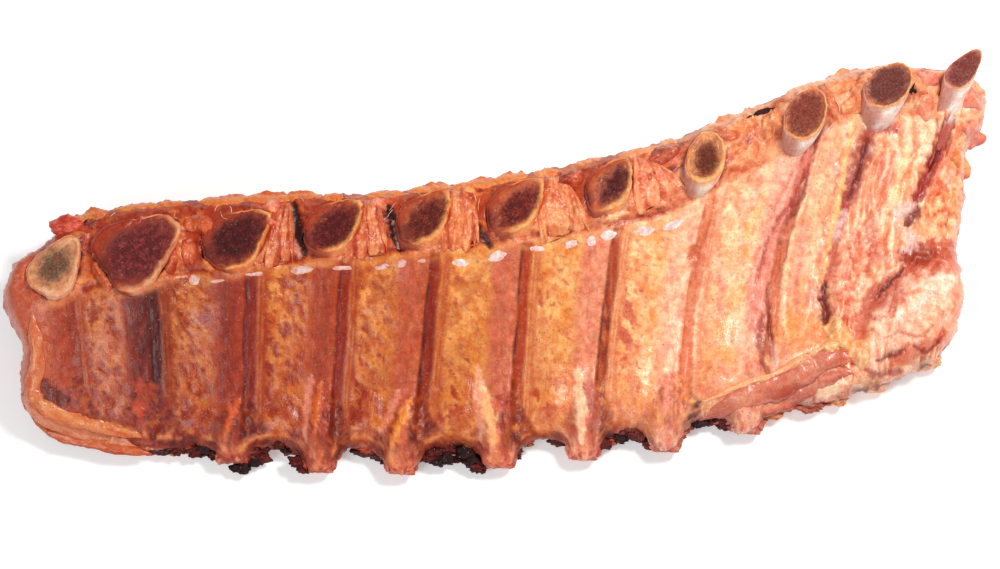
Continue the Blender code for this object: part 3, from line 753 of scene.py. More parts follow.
def inner_side(rib, across, x, y):
    """The finish of the slab's inner side: how far it stands off the frame's, its colour, and
    its wetness, grain and net."""
    wobble = 0.9 * rough(x / 11, y / 22, 5)
    beside = 40 * (rib - np.round(rib)) + wobble
    share = rib - np.floor(rib) + wobble / 40
    from_front = y - front_y_of(x)
    below_line = head_line_at(x) + 0.9 * rough(x / 6, y / 6, 8) - y
    flat = ease(below_line, 0, 2.5)
    left_part, right_part = 1 - ease(rib, 3.5, 6), ease(rib, 7.4, 9.3)
    u_bottom = 7.5 + 8 * np.clip((share - 0.56) / 0.25, -1.5, 1.5) ** 2 + 2.5 * rough(x / 7, y / 7, 9)
    front_band = (1 - ease(from_front - u_bottom, -2.0, 2.0)) * ease(rib, 0.8, 1.3) * (1 - ease(rib, 9.2, 9.8))
    ribbed = flat * (1 - front_band) * ease(rib, 0.55, 0.8) * (1 - ease(rib, 9.7, 10.2))

    # muscle, by the middles of the rib spaces
    tint = along_rack(
        rib, (0.4, (186, 98, 68)), (1.5, (196, 116, 76)), (2.5, (190, 108, 66)), (3.5, (196, 112, 66)),
        (4.5, (200, 124, 68)), (5.5, (212, 146, 90)), (6.5, (232, 166, 108)), (7.5, (250, 176, 116)),
        (8.5, (254, 202, 150)), (9.5, (254, 204, 152)), (10.5, (254, 200, 152)), (11.6, (254, 196, 152)),
    )
    pale = along_rack(
        rib, (0, (212, 140, 104)), (2.5, (218, 158, 104)), (4.5, (238, 176, 110)), (6.5, (252, 204, 138)),
        (8.5, (255, 222, 174)), (12, (255, 220, 182)),
    )
    red = along_rack(
        rib, (0, (160, 66, 48)), (2.5, (152, 62, 42)), (4.5, (166, 72, 48)), (6.5, (196, 100, 66)),
        (8.5, (230, 132, 98)), (12, (232, 132, 100)),
    )
    yellow = along_rack(
        rib, (0, (198, 118, 58)), (2.5, (198, 120, 52)), (4.5, (204, 130, 54)), (6.5, (232, 156, 72)),
        (8.5, (250, 178, 90)), (12, (252, 184, 104)),
    )
    in_muscle = ease(share, 0.3, 0.38) * (1 - ease(share, 0.72, 0.84)) * ribbed
    lean_x, lean_y = x * 0.93 + y * 0.36, y * 0.93 - x * 0.36
    upper = ease(across, 0.25, 0.6)
    by_groove, by_ridge = 1 - ease(share, 0.42, 0.62), ease(share, 0.5, 0.66)
    strand = strands(lean_x / 8, lean_y / 18, 21) ** 2 + 0.6 * strands(lean_x / 5.5, lean_y / 14, 22) ** 3
    orange_zone = patches(x, y * 0.7, 9, 31, -0.35 + 0.3 * by_groove, 0.35) * (0.35 + 0.6 * by_ridge)
    tint = lay(tint, yellow, in_muscle * orange_zone * (1 - 0.55 * left_part * upper))
    tint = lay(tint, pale, in_muscle * patches(x, y, 8, 32, -0.25, 0.2) * (0.4 + 0.55 * upper) * (1 - 0.3 * by_ridge) * (1 - 0.55 * right_part))
    cluster = patches(x, y * 0.6, 13, 59, -0.35, 0.25) * (0.3 + 0.7 * by_groove) * (1 - 0.6 * upper)
    cluster = np.maximum(np.clip(1.5 * cluster, 0, 1), 0.75 * left_part)
    cell = patches(lean_x, lean_y * 0.55, 4.6, 33, 0.02, 0.2) * cluster
    tint = lay(tint, red, in_muscle * cell * (1 - 0.25 * right_part))
    tint = lay(tint, pale, in_muscle * np.clip(strand, 0, 1) * (0.14 + 0.4 * left_part) * ease(across, 0.1, 0.3))
    tint = lay(tint, red, in_muscle * (1 - ease(across, 0.12, 0.36)) * patches(x, y * 0.6, 6, 34, -0.25, 0.25) * 0.6)
    pits = in_muscle * ease(rough(x / 2.2, y / 2.8, 12, octaves=2), 0.42, 0.62)
    tint = lay(tint, red * 0.8, pits * 0.6)
    gold = in_muscle * right_part * bell(across + 0.05 * rough(x / 7, y / 7, 17), 0.2, 0.12)
    tint = lay(tint, tone(248, 172, 92), gold * 0.85)
    streaks = in_muscle * right_part * strands((x * 0.97 - y * 0.24) / 4.2, (y * 0.97 + x * 0.24) / 30, 15)
    tint = lay(tint, tone(236, 148, 98), streaks * 0.45)
    veil = in_muscle * patches(x, y * 0.5, 7, 29, 0.0, 0.4) * right_part
    tint = lay(tint, tone(246, 166, 144), veil * 0.7)

    # the fringe and the two fine cords beside the groove
    fringe = ease(share, 0.21, 0.25) * (1 - ease(share, 0.31, 0.39)) * ribbed
    tint = lay(tint, lay(red, tint, np.full(np.shape(x), 0.35)), fringe * 0.9)
    cords = np.maximum(bell(share, 0.255, 0.013), 0.75 * bell(share, 0.296, 0.011))
    tint = lay(tint, pale * 0.96, cords * ribbed * (0.5 + 0.3 * rough(x / 3, y / 9, 35)) * 0.95)

    # the groove and the ridge over the bone
    groove_tint = along_rack(
        rib, (1.16, (160, 76, 54)), (2.16, (88, 32, 30)), (3.16, (138, 50, 34)), (4.16, (152, 58, 36)),
        (5.16, (156, 62, 30)), (6.16, (180, 80, 44)), (7.16, (184, 86, 46)), (8.16, (218, 118, 72)),
        (9.16, (176, 84, 56)), (10.16, (190, 90, 56)),
    )
    ridge_tint = along_rack(
        rib, (1, (176, 88, 62)), (2, (124, 50, 40)), (3, (170, 80, 54)), (4, (184, 98, 64)),
        (5, (196, 116, 86)), (6, (208, 132, 106)), (7, (232, 156, 122)), (8, (254, 202, 162)),
        (9, (251, 182, 150)), (10, (246, 168, 134)),
    )
    groove = ease(beside, 3.4, 4.6) * (1 - ease(beside, 8.2, 10.2)) * ribbed
    tint = lay(tint, groove_tint, groove * (0.88 + 0.25 * rough(x / 2, y / 12, 36)))
    ridge = ease(beside, -10, -4.5) * (1 - ease(beside, 3.4, 4.4)) * flat * (1 - 0.4 * front_band)
    ridge = ridge * ease(rib, 0.6, 0.8) * (1 - ease(rib, 9.6, 9.9))
    tint = lay(tint, ridge_tint, ridge * (0.9 - 0.25 * patches(x, y, 8, 37, 0.1, 0.6)))
    blush = along_rack(rib, (0, (184, 88, 68)), (4, (198, 106, 80)), (7, (228, 140, 118)), (12, (246, 160, 138)))
    tint = lay(tint, blush, ridge * patches(x, y * 0.5, 5, 38, 0.0, 0.4) * 0.6)
    tint = lay(tint, ridge_tint * 1.35 + 0.03, ridge * patches(x * 1.4, y * 0.7, 4, 25, 0.1, 0.45) * 0.5)
    tint = lay(tint, ridge_tint * 0.62, ridge * patches(x * 1.4, y * 0.7, 3.4, 24, 0.15, 0.4) * 0.35)
    # a dark line at the foot of each ridge's step down to the groove: painted shadow under the overhanging ridge; the
    # same strength also sinks a small crease there
    edge = np.interp(rib, (1, 2, 3, 4, 6, 7, 8, 9, 10), (0.3, 0.8, 0.7, 0.9, 0.95, 0.95, 0.25, 0.9, 0.3))
    edge = edge * (0.45 + 0.7 * rough(x / 4, y / 9, 39)) * ease(across, 0.06, 0.16)
    tint = lay(tint, tone(78, 26, 30), bell(beside, 4.7, 0.8) * ribbed * edge)
    dark_band = bell(rib, 2.12, 0.2) + 0.55 * bell(rib, 2.93, 0.1) + 0.35 * bell(rib, 3.95, 0.1)
    dark_band = dark_band * ribbed * ease(across, 0.05, 0.3) * (0.55 + 0.5 * rough(x / 1.6, y / 14, 40))
    tint = lay(tint, tone(86, 28, 30), dark_band)

    wedge = groove * bell(across, 0.36, 0.18) * (bell(rib, 7.16, 0.5) + 0.6 * bell(rib, 5.16, 0.5)) * ease(rough(x / 3, y / 12, 42) + 0.3, 0, 0.4)
    tint = lay(tint, tone(96, 28, 22), wedge * 0.75)

    # a smear of pale fat under the faces, and the band along the front edge
    hem = bell(below_line, 3.2, 2.4) * ease(rib, 0.8, 1.4) * (1 - ease(rib, 8.2, 9))
    tint = lay(tint, pale, hem * (0.3 + 0.5 * rough(x / 9, y / 3, 41)))
    band_tint = along_rack(
        rib, (0.5, (190, 104, 76)), (2, (146, 56, 30)), (3.5, (138, 50, 20)), (5.5, (150, 62, 26)),
        (7, (174, 82, 32)), (8, (222, 132, 76)), (9.5, (242, 164, 112)),
    )
    tint = lay(tint, band_tint, front_band * 0.9)
    tint = lay(tint, yellow, front_band * patches(x, y, 6, 42, 0.05, 0.45) * 0.6)
    tint = lay(tint, red * 0.55, front_band * patches(x, y, 3.5, 43, 0.0, 0.25) * 0.8)
    tint = lay(tint, blush * 1.1, bell(beside, -1, 4.5) * front_band * patches(x, y * 0.5, 3.5, 44, -0.4, 0.3) * 0.8)
    sooty = (1 - ease(from_front, 0.5, 8.0)) * patches(x, y, 6, 45, -0.25, 0.2) * (1 - bell(beside, 0, 6))
    tint = lay(tint, tone(104, 42, 36), sooty * 0.8 * ease(rib, 1.2, 1.8) * (1 - ease(rib, 8.6, 9.4)))

    stain = bell(beside, 6.5, 4.5) * bell(from_front, 9 + 3 * rough(x / 4, y / 4, 16), 7) * ease(rib, 2.6, 3.0)
    stain = stain * (1 - ease(rib, 7.8, 8.2)) * patches(x, y * 0.7, 3.6, 17, -0.35, 0.2)
    tint = lay(tint, tone(104, 44, 40), stain * 0.95)
    at_stub = (1 - ease(from_front, 0.5, 9)) * (1 - ease(np.abs(beside), 5, 8.5)) * ease(rib, 2.3, 2.7)
    at_stub = at_stub * (1 - ease(rib, 9.5, 9.8))
    tint = lay(tint, blush * 1.15 + 0.02, at_stub * 0.75)
    tint = lay(tint, tone(250, 204, 170), at_stub * patches(x * 1.6, y * 0.7, 4, 20, 0.0, 0.4) * 0.7)
    tint = lay(tint, tone(140, 50, 44), at_stub * patches(x * 1.6, y * 0.8, 3.4, 19, 0.05, 0.35) * 0.8)

    # the head zone: lumps of meat and fat between the faces, and the sawn back edge
    head_tint = along_rack(
        rib, (0, (200, 110, 86)), (1.5, (184, 92, 62)), (2.5, (186, 90, 58)), (4, (206, 108, 66)),
        (6, (214, 120, 74)), (7.4, (214, 112, 70)), (8.6, (224, 130, 76)), (9.5, (232, 148, 98)), (12, (244, 164, 126)),
    )
    head = (1 - flat) * ease(rib, 0.3, 0.8) * (1 - ease(rib, 10.6, 11))
    tint = lay(tint, head_tint, head)
    tint = lay(tint, blush * 1.08, head * patches(x, y, 5, 46, 0.05, 0.4) * (0.7 - 0.4 * right_part))
    tint = lay(tint, tone(238, 158, 92), head * patches(x, y, 6, 47, 0.05, 0.4) * 0.75)
    tint = lay(tint, tone(254, 206, 154), head * patches(x, y, 5, 22, 0.15, 0.45) * 0.7 * right_part)
    tint = lay(tint, tone(190, 92, 50), head * patches(x, y, 7, 23, 0.1, 0.4) * 0.7 * right_part)
    tint = lay(tint, tone(120, 44, 34), head * patches(x, y, 4, 48, 0.2, 0.5) * (0.85 - 0.4 * right_part))
    tint = lay(tint, tone(120, 46, 34), bell(below_line, -0.6, 1.1) * ease(rib, 1.2, 1.6) * (1 - ease(rib, 7.6, 8.2)) * 0.5)
    from_back = back_y_of(x) - y
    crust = (1 - ease(from_back, 2.0, 6.5)) * ease(rib, 1.2, 1.8)
    crust_tint = along_rack(rib, (0, (198, 108, 76)), (3, (208, 108, 56)), (5, (238, 150, 80)), (7, (240, 158, 92)), (12, (244, 164, 114)))
    tint = lay(tint, crust_tint, crust * (0.75 + 0.4 * rough(x / 5, y / 5, 49)))

    # round each sawn face the meat is paler to its lower right and browner to its upper left, and darker in a ring at
    # the head's foot: painted shade where the head rises out of the meat
    for number in range(1, LAST):
        far = (face_distance(number, x, y) - 1) * RIBS[number - 1]["half"][1]
        head_foot_shade = 1 - ease(far + 1.2 * rough(x / 2.5, y / 2.5, 68), 0.2, 2.4)
        towards = lower_right_of_face(number, x, y)
        if number < 8:
            tint = lay(tint, tone(244, 176, 124), (1 - ease(far, 1.0, 5.0)) * ease(towards, 0.2, 0.9) * 0.7)
            tint = lay(tint, tone(180, 84, 50), (1 - ease(far, 1.0, 6.0)) * ease(-towards, 0.1, 0.8) * 0.7)
            tint = lay(tint, tone(96, 28, 26), head_foot_shade * patches(x, y, 3, 28, -0.2, 0.3) * 0.6 * (1 - 0.7 * ease(-towards, 0, 0.6)))
        else:
            tint = lay(tint, tone(150, 58, 52), head_foot_shade * 0.7)
    high_right = ease(rib, 7.7, 8.5) * ease(across, 0.8, 0.88) * (1 - ease(across, 0.96, 1)) * (1 - ease(rib, 11.3, 11.7))

    # the two ends
    left_end = 1 - ease(rib, 0.5, 0.85)
    tint = lay(tint, tone(204, 116, 88), left_end * 0.8)
    tint = lay(tint, tone(196, 92, 70), left_end * patches(x, y, 6, 50, 0.0, 0.5) * 0.6)
    tint = lay(tint, tone(232, 158, 104), left_end * patches(x, y, 5, 51, 0.2, 0.5) * 0.6 * bell(rib, 0.3, 0.2))
    tint = lay(tint, tone(116, 42, 34), blotch(x, y, (-190, -57), (9, 5), -35, 52) * 0.9)
    right_end = ease(rib, 9.75, 10.2)
    folded = ease(x - 0.22 * y + 3 * rough(x / 7, y / 7, 11), 132, 138) * (1 - head)
    down_right, over_right = y * 0.976 + x * 0.217, x * 0.976 - y * 0.217
    fold = crumple(over_right / 6.5, down_right / 13, 53)
    tint = lay(tint, tone(248, 178, 128), folded * 0.9)
    tint = lay(tint, tone(240, 158, 136), folded * patches(x, y, 9, 13, 0.0, 0.4) * 0.8)
    # paler on the folds' bulges and darker in their creases: painted light and shade that follow the folds raising the
    # surface, over the meat's own colours
    tint = lay(tint, tone(255, 220, 180), folded * ease(fold, 0.45, 0.85) * 0.9)
    tint = lay(tint, tone(234, 134, 84), folded * (1 - ease(fold, 0.1, 0.36)) * 0.7)
    deep = folded * (1 - ease(fold, 0.02, 0.2)) * patches(x, y, 8, 58, -0.3, 0.2)
    tint = lay(tint, tone(190, 76, 50), deep * 0.7)
    clump = crumple(x / 8.5, y / 8.5, 54)
    in_clumps = head * ease(rib, 7.6, 8.3)
    # the clumps likewise: paler on their bulges and darker in their creases, painted light and shade
    tint = lay(tint, tone(244, 172, 118), in_clumps * ease(clump, 0.4, 0.9) * 0.8)
    tint = lay(tint, tone(206, 100, 50), in_clumps * (1 - ease(clump, 0.1, 0.45)) * 0.85)
    tint = lay(tint, tone(140, 50, 32), in_clumps * (1 - ease(clump, 0.0, 0.14)) * patches(x, y, 9, 55, -0.3, 0.2) * 0.8)
    tint = lay(tint, tone(246, 160, 84), blotch(x, y, (131, -30), (9, 16), 80, 56) * 0.6)
    lumps = np.maximum(blotch(x, y, (192, 27), (10, 13), 30, 56), blotch(x, y, (202, 44), (7, 16), 10, 57))
    lumps = lumps * ease(rib, 11.0, 11.25)
    nearest, apart, shade = pebbles(x / 8 + 0.2 * rough(x / 3, y / 3, 58), y / 8 + 0.2 * rough(x / 3, y / 3, 59), 60)
    tint = lay(tint, lay(tone(246, 160, 92) + 0 * tint, tone(255, 214, 160), ease(shade + 0.4 * rough(x / 4, y / 4, 27), 0.2, 0.9)), lumps * 0.9)
    # darker in the cracks between the lumps of fat: painted shade where the knobs stand up
    tint = lay(tint, tone(214, 92, 50), lumps * (1 - ease(apart, 0.04, 0.2)) * 0.9)
    knobs = lumps * ease(apart, 0.0, 0.5)
    mass = np.maximum(blotch(x, y, (149, -6), (19, 6.5), 82, 18), 0.8 * blotch(x, y, (158, 6), (12, 4), 95, 17))
    mass = np.maximum(mass, blotch(x, y, (146, -24), (8, 6), 60, 16))
    buckle = rough(x / 3.4, y / 4.6, 15, octaves=2)
    tint = lay(tint, tone(244, 164, 128), mass * 0.8)
    # paler where the mass buckles up and darker where it sinks: painted light and shade
    tint = lay(tint, tone(255, 206, 168), mass * ease(buckle, 0.0, 0.4) * 0.9)
    tint = lay(tint, tone(206, 96, 56), mass * ease(-buckle, 0.1, 0.4) * 0.85)
    tint = lay(tint, tone(226, 118, 72), mass * strands(x / 5, y / 7, 14) ** 2 * 0.6)
    for at, half, turn, colour, strength in FLAP_AREAS:
        tint = lay(tint, tone(*colour), blotch(x, y, at, half, turn, int(half[0]) + 24, 0.5) * strength)
    on_flap = blotch(x, y, (178, -19), (24, 18), 50, 71)
    swirl = crumple(x / 9, y / 7, 74)
    tint = lay(tint, tone(226, 130, 88), on_flap * (1 - ease(swirl, 0.05, 0.3)) * 0.45)
    tint = lay(tint, tone(255, 226, 200), on_flap * ease(swirl, 0.6, 1.0) * 0.4)

    lift = 0.55 * rough(x / 16, y / 16, 60) + 0.2 * rough(x / 4, y / 4, 61) + 0.06 * rough(x / 2.4, y / 2.4, 62)
    lift = lift + 0.1 * rough(rib * 24, y / 13, 63) * ribbed + 0.35 * cords * ribbed - 0.2 * in_muscle * cell
    lift = lift + (1.5 * np.abs(rough(x / 6, y / 6, 64)) - 0.5) * head * (1 - 0.6 * right_part)
    lift = lift + folded * (2.0 * ease(fold, 0, 0.7) - 0.9) + in_clumps * (2.4 * ease(clump, 0, 0.8) - 1.0)
    lift = lift + climb_over_bones(rib, across, x, y) + 3.0 * high_right * (0.8 + 0.5 * rough(x / 9, y / 9, 67))
    lift = lift - 0.8 * bell(below_line, -0.6, 1.2) * ease(rib, 1.2, 1.6) * (1 - ease(rib, 7.6, 8.2)) + 1.5 * knobs
    lift = lift + mass * (1.8 + 1.6 * buckle) - 0.15 * pits
    lift = lift + (1.3 * np.abs(rough(x / 3.2, y / 3.2, 65)) + 0.3 * rough(x / 1.3, y / 1.3, 69) - 0.4) * front_band - 0.5 * bell(beside, 4.7, 0.9) * ribbed * edge
    for path, half, colour, strength, height in STROKES:
        mask = stroke(x, y, path, half, seed=len(path) + 70)
        tint = lay(tint, tone(*colour), mask * strength)
        lift = lift + height * mask
    wet = np.clip(0.55 + 0.25 * rough(x / 10, y / 10, 66) + 0.25 * in_muscle + 0.2 * right_end - 0.25 * front_band, 0, 1)
    net = in_muscle * (0.15 + 0.35 * left_part)
    grain = np.clip(sooty * 0.6 + crust * 0.35, 0, 1)
    return lift, tint, np.stack([wet, grain, net], axis=-1)


def outer_side(rib, across, x, y):
    """The finish of the slab's outer side: smoked bark, brown to nearly black."""
    tint = np.broadcast_to(tone(146, 66, 40), (*np.shape(x), 3))
    tint = lay(tint, tone(196, 110, 62), patches(x, y, 16, 80, 0.1, 0.5) * 0.8)
    tint = lay(tint, tone(92, 36, 26), patches(x, y, 9, 81, 0.05, 0.5) * 0.9)
    tint = lay(tint, tone(58, 24, 20), patches(x, y, 4, 82, 0.3, 0.6) * 0.8)
    lift = 0.5 * rough(x / 9, y / 9, 83) + 0.3 * rough(x / 2.5, y / 2.5, 84)
    wet = np.clip(0.35 + 0.3 * rough(x / 8, y / 8, 85), 0, 1)
    return lift, tint, np.stack([wet, 0.4 + 0 * wet, 0 * wet], axis=-1)


# The finished inner side's height on a square grid over the slab's plan.
GRID_X, GRID_Y = np.arange(-224, 224.5), np.arange(-96, 100.5)


def height_grid():
    x, y = np.meshgrid(GRID_X, GRID_Y, indexing="ij")
    rib, across = place_on_slab(x, y)
    top, bottom, share = inner_height(rib, across), outer_at(across), edge_share(rib, across)
    middle = (top + bottom) / 2
    return middle + (top - middle + inner_side(rib, across, x, y)[0]) * share


SKIN = height_grid()


def skin_height(x, y):
    """The height of the finished inner side over a place in plan, read off the grid."""
    at_x = np.clip(np.asarray(x, float) - GRID_X[0], 0, len(GRID_X) - 1.001)
    at_y = np.clip(np.asarray(y, float) - GRID_Y[0], 0, len(GRID_Y) - 1.001)
    i, j = at_x.astype(int), at_y.astype(int)
    s, t = at_x - i, at_y - j
    near = SKIN[i, j] * (1 - t) + SKIN[i, j + 1] * t
    return near * (1 - s) + (SKIN[i + 1, j] * (1 - t) + SKIN[i + 1, j + 1] * t) * s


# ------------------------------------------------------------------ the slab itself

TOP_STEPS = 150
BELOW_STEPS = 25
COLUMNS = 532


def spread(count, low, high, density):
    """count + 1 numbers from low to high, closer together where the density is high."""
    fine = np.linspace(low, high, 6000)
    filled = np.concatenate([[0], np.cumsum((density(fine)[1:] + density(fine)[:-1]) / 2)])
    return np.interp(np.linspace(0, filled[-1], count + 1), filled, fine)


def outline_wander(x, y, seed):
    """How far the ragged outline strays from the frame's."""
    return 1.6 * rough(x / 8, y / 8, seed) + 0.8 * rough(x / 2.4, y / 2.4, seed + 30)


def tongue(rib, across):
    """How far the slab's front edge is drawn out over the stub of each rib."""
    stubs = np.array([max(r["stub"], 0) for r in RIBS])
    number = np.clip(np.round(rib), 1, len(RIBS)).astype(int)
    near = np.exp(-((np.abs(40 * (rib - number) + 0.5 + 0.8 * rough(rib * 9, across * 30, 21)) / 7.6) ** 5))
    reach = stubs[number - 1] * 0.9 + 1.2 * (stubs[number - 1] > 1)
    return reach * near * (1 - ease(across, 0, 0.11))


def make_meat():
    ribs = spread(COLUMNS, 0.0008, LAST - 0.0008, lambda u: (
        1 + 0.9 * bell(u - np.round(u), 0.15, 0.14) + 6 * (bell(u, 0, 0.05) + bell(u, LAST, 0.05))
    ))
    rows = spread(TOP_STEPS, 0, 1, lambda v: 1 + 4 * (bell(v, 0, 0.02) + bell(v, 1, 0.02)))
    per_step = TOP_STEPS // BELOW_STEPS
    back_again = rows[::-1][per_step:-1:per_step]
    rib, across = np.meshgrid(ribs, rows, indexing="ij")
    x, y = plan(rib, across)
    top, bottom, share = inner_height(rib, across), outer_at(across), edge_share(rib, across)
    lift, tint, masks = inner_side(rib, across, x, y)
    thick = np.clip(tongue(rib, across) / 5, 0, 1)
    share = share + (1 - share) * 0.5 * thick * ease(share, 0, 0.3)
    upper_z = (top + bottom) / 2 + (top - bottom) / 2 * share + lift * share
    rim = 1 - ease(share, 0.15, 0.95)
    front = 1 - ease(across, 0.1, 0.2)
    wall_tint = along_rack(rib, (0, (196, 108, 82)), (2, (150, 72, 54)), (6, (150, 70, 54)), (9, (214, 132, 104)), (12, (240, 164, 134)))
    wall_tint = lay(wall_tint, tone(84, 32, 32), patches(x, y, 8, 86, -0.2, 0.4) * front * (1 - bell(rib - np.round(rib), 0, 0.16)))
    wall_tint = lay(wall_tint, tone(232, 164, 118), patches(x, y, 5, 87, 0.1, 0.5) * 0.5)
    stub_tint = along_rack(rib, (2, (176, 92, 76)), (5, (226, 146, 120)), (8, (240, 176, 148)))
    wall_tint = lay(wall_tint, stub_tint, thick * patches(x, y * 0.6, 3, 26, -0.6, 0.1))
    tint = lay(tint, wall_tint, rim * (1 - 0.3 * bell(share, 0.7, 0.2)))
    lip = bell(share, 0.86, 0.1) * front * ease(rib, 1.0, 1.6) * (1 - ease(rib, 9.6, 10.4))
    tint = lay(tint, tone(240, 176, 128), lip * patches(x, y, 6, 88, -0.2, 0.3) * 0.7)
    upper_x = x + rim * outline_wander(x, y, 89)
    upper_y = y + rim * outline_wander(x, y, 90) - tongue(rib, across)
    upper = np.stack([upper_x, upper_y, upper_z], axis=-1)

    rib_b, across_b = np.meshgrid(ribs, back_again, indexing="ij")
    xb, yb = plan(rib_b, across_b)
    top, bottom, share_b = inner_height(rib_b, across_b), outer_at(across_b), edge_share(rib_b, across_b)
    lift_b, tint_b, masks_b = outer_side(rib_b, across_b, xb, yb)
    z = (top + bottom) / 2 - (top - bottom) / 2 * share_b - lift_b * share_b
    rim_b = 1 - ease(share_b, 0.15, 0.95)
    shift_x, shift_y = outline_wander(xb, yb, 89), outline_wander(xb, yb, 90)
    xb, yb = xb + rim_b * shift_x, yb + rim_b * shift_y - tongue(rib_b, across_b)
    lower = np.stack([xb, yb, np.maximum(z, 0.02)], axis=-1)

    points = np.concatenate([upper, lower], axis=1)
    columns, around, _ = points.shape
    index = np.arange(columns * around).reshape(columns, around)
    after = np.roll(index, -1, axis=1)
    quads = np.stack([index[:-1], after[:-1], after[1:], index[1:]], axis=-1).reshape(-1, 4)
    caps = [end_cap(index[0], per_step)[:, ::-1], end_cap(index[-1], per_step)]
    surface_map = np.stack([rib * 40, across * 120], axis=-1)
    surface_map = np.concatenate([surface_map, np.stack([rib_b * 40, across_b * 120], axis=-1)], axis=1)
    pile = Pile()
    pile.add(
        points.reshape(-1, 3), [quads, *caps],
        np.concatenate([tint, tint_b], axis=1).reshape(-1, 3),
        np.concatenate([masks, masks_b], axis=1).reshape(-1, 3), surface_map.reshape(-1, 2),
    )
    piece = pile.finish("rack_meat", meat_finish)
    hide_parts("meat")


def end_cap(ring, per_step):
    """Triangles that close an end of the slab, from the upper edge of a ring to its lower one,
    which has one step for every per_step of the upper."""
    upper, lower = ring[: TOP_STEPS + 1], np.append(ring[TOP_STEPS:], ring[0])[::-1]
    faces = []
    for k in range(per_step):
        faces.append(np.stack([lower[:-1], upper[k:-1:per_step], upper[k + 1 :: per_step]], axis=-1))
    faces.append(np.stack([lower[:-1], upper[per_step::per_step], lower[1:]], axis=-1))
    faces = np.concatenate(faces)
    return faces[(faces[:, 0] != faces[:, 1]) & (faces[:, 1] != faces[:, 2])]


# ------------------------------------------------------------------ the bones

# What shows on each sawn face, from left to right: the granular middle's tone, its size as a
# share of the face and how far it is shifted to the lower right, the tone of the flat bone round
# it, and the width of the pale lip at the lower right.
FACES = (
    dict(core=(134, 98, 74), size=0.6, shift=(-0.06, 0.1), flat=(226, 152, 104), lip=0.34),
    dict(core=(120, 50, 52), size=0.72, shift=(0.06, -0.04), flat=(164, 80, 58), lip=0.16),
    dict(core=(86, 22, 26), size=0.68, shift=(0.02, -0.02), flat=(180, 88, 56), lip=0.16),
    dict(core=(98, 24, 24), size=0.66, shift=(0.06, -0.08), flat=(196, 106, 62), lip=0.26),
    dict(core=(110, 44, 32), size=0.62, shift=(0.06, -0.08), flat=(202, 116, 72), lip=0.34),
    dict(core=(116, 40, 32), size=0.6, shift=(0.1, -0.06), flat=(214, 124, 74), lip=0.32),
    dict(core=(88, 26, 24), size=0.5, shift=(0.18, 0.02), flat=(206, 114, 66), lip=0.34),
    dict(core=(116, 50, 32), size=0.62, shift=(0.04, -0.06), flat=(228, 150, 84), lip=0.3),
    dict(core=(150, 72, 56), size=0.86, shift=(0, 0.02), flat=(208, 124, 78), lip=0.14),
    dict(core=(124, 64, 58), size=0.86, shift=(0, 0.02), flat=(204, 126, 94), lip=0.14),
    dict(core=(146, 74, 70), size=0.95, shift=(0, 0), flat=(196, 118, 102), lip=0.1),
)
BONE_AROUND = 112
BONE_ALONG = 46
FACE_RINGS = 34


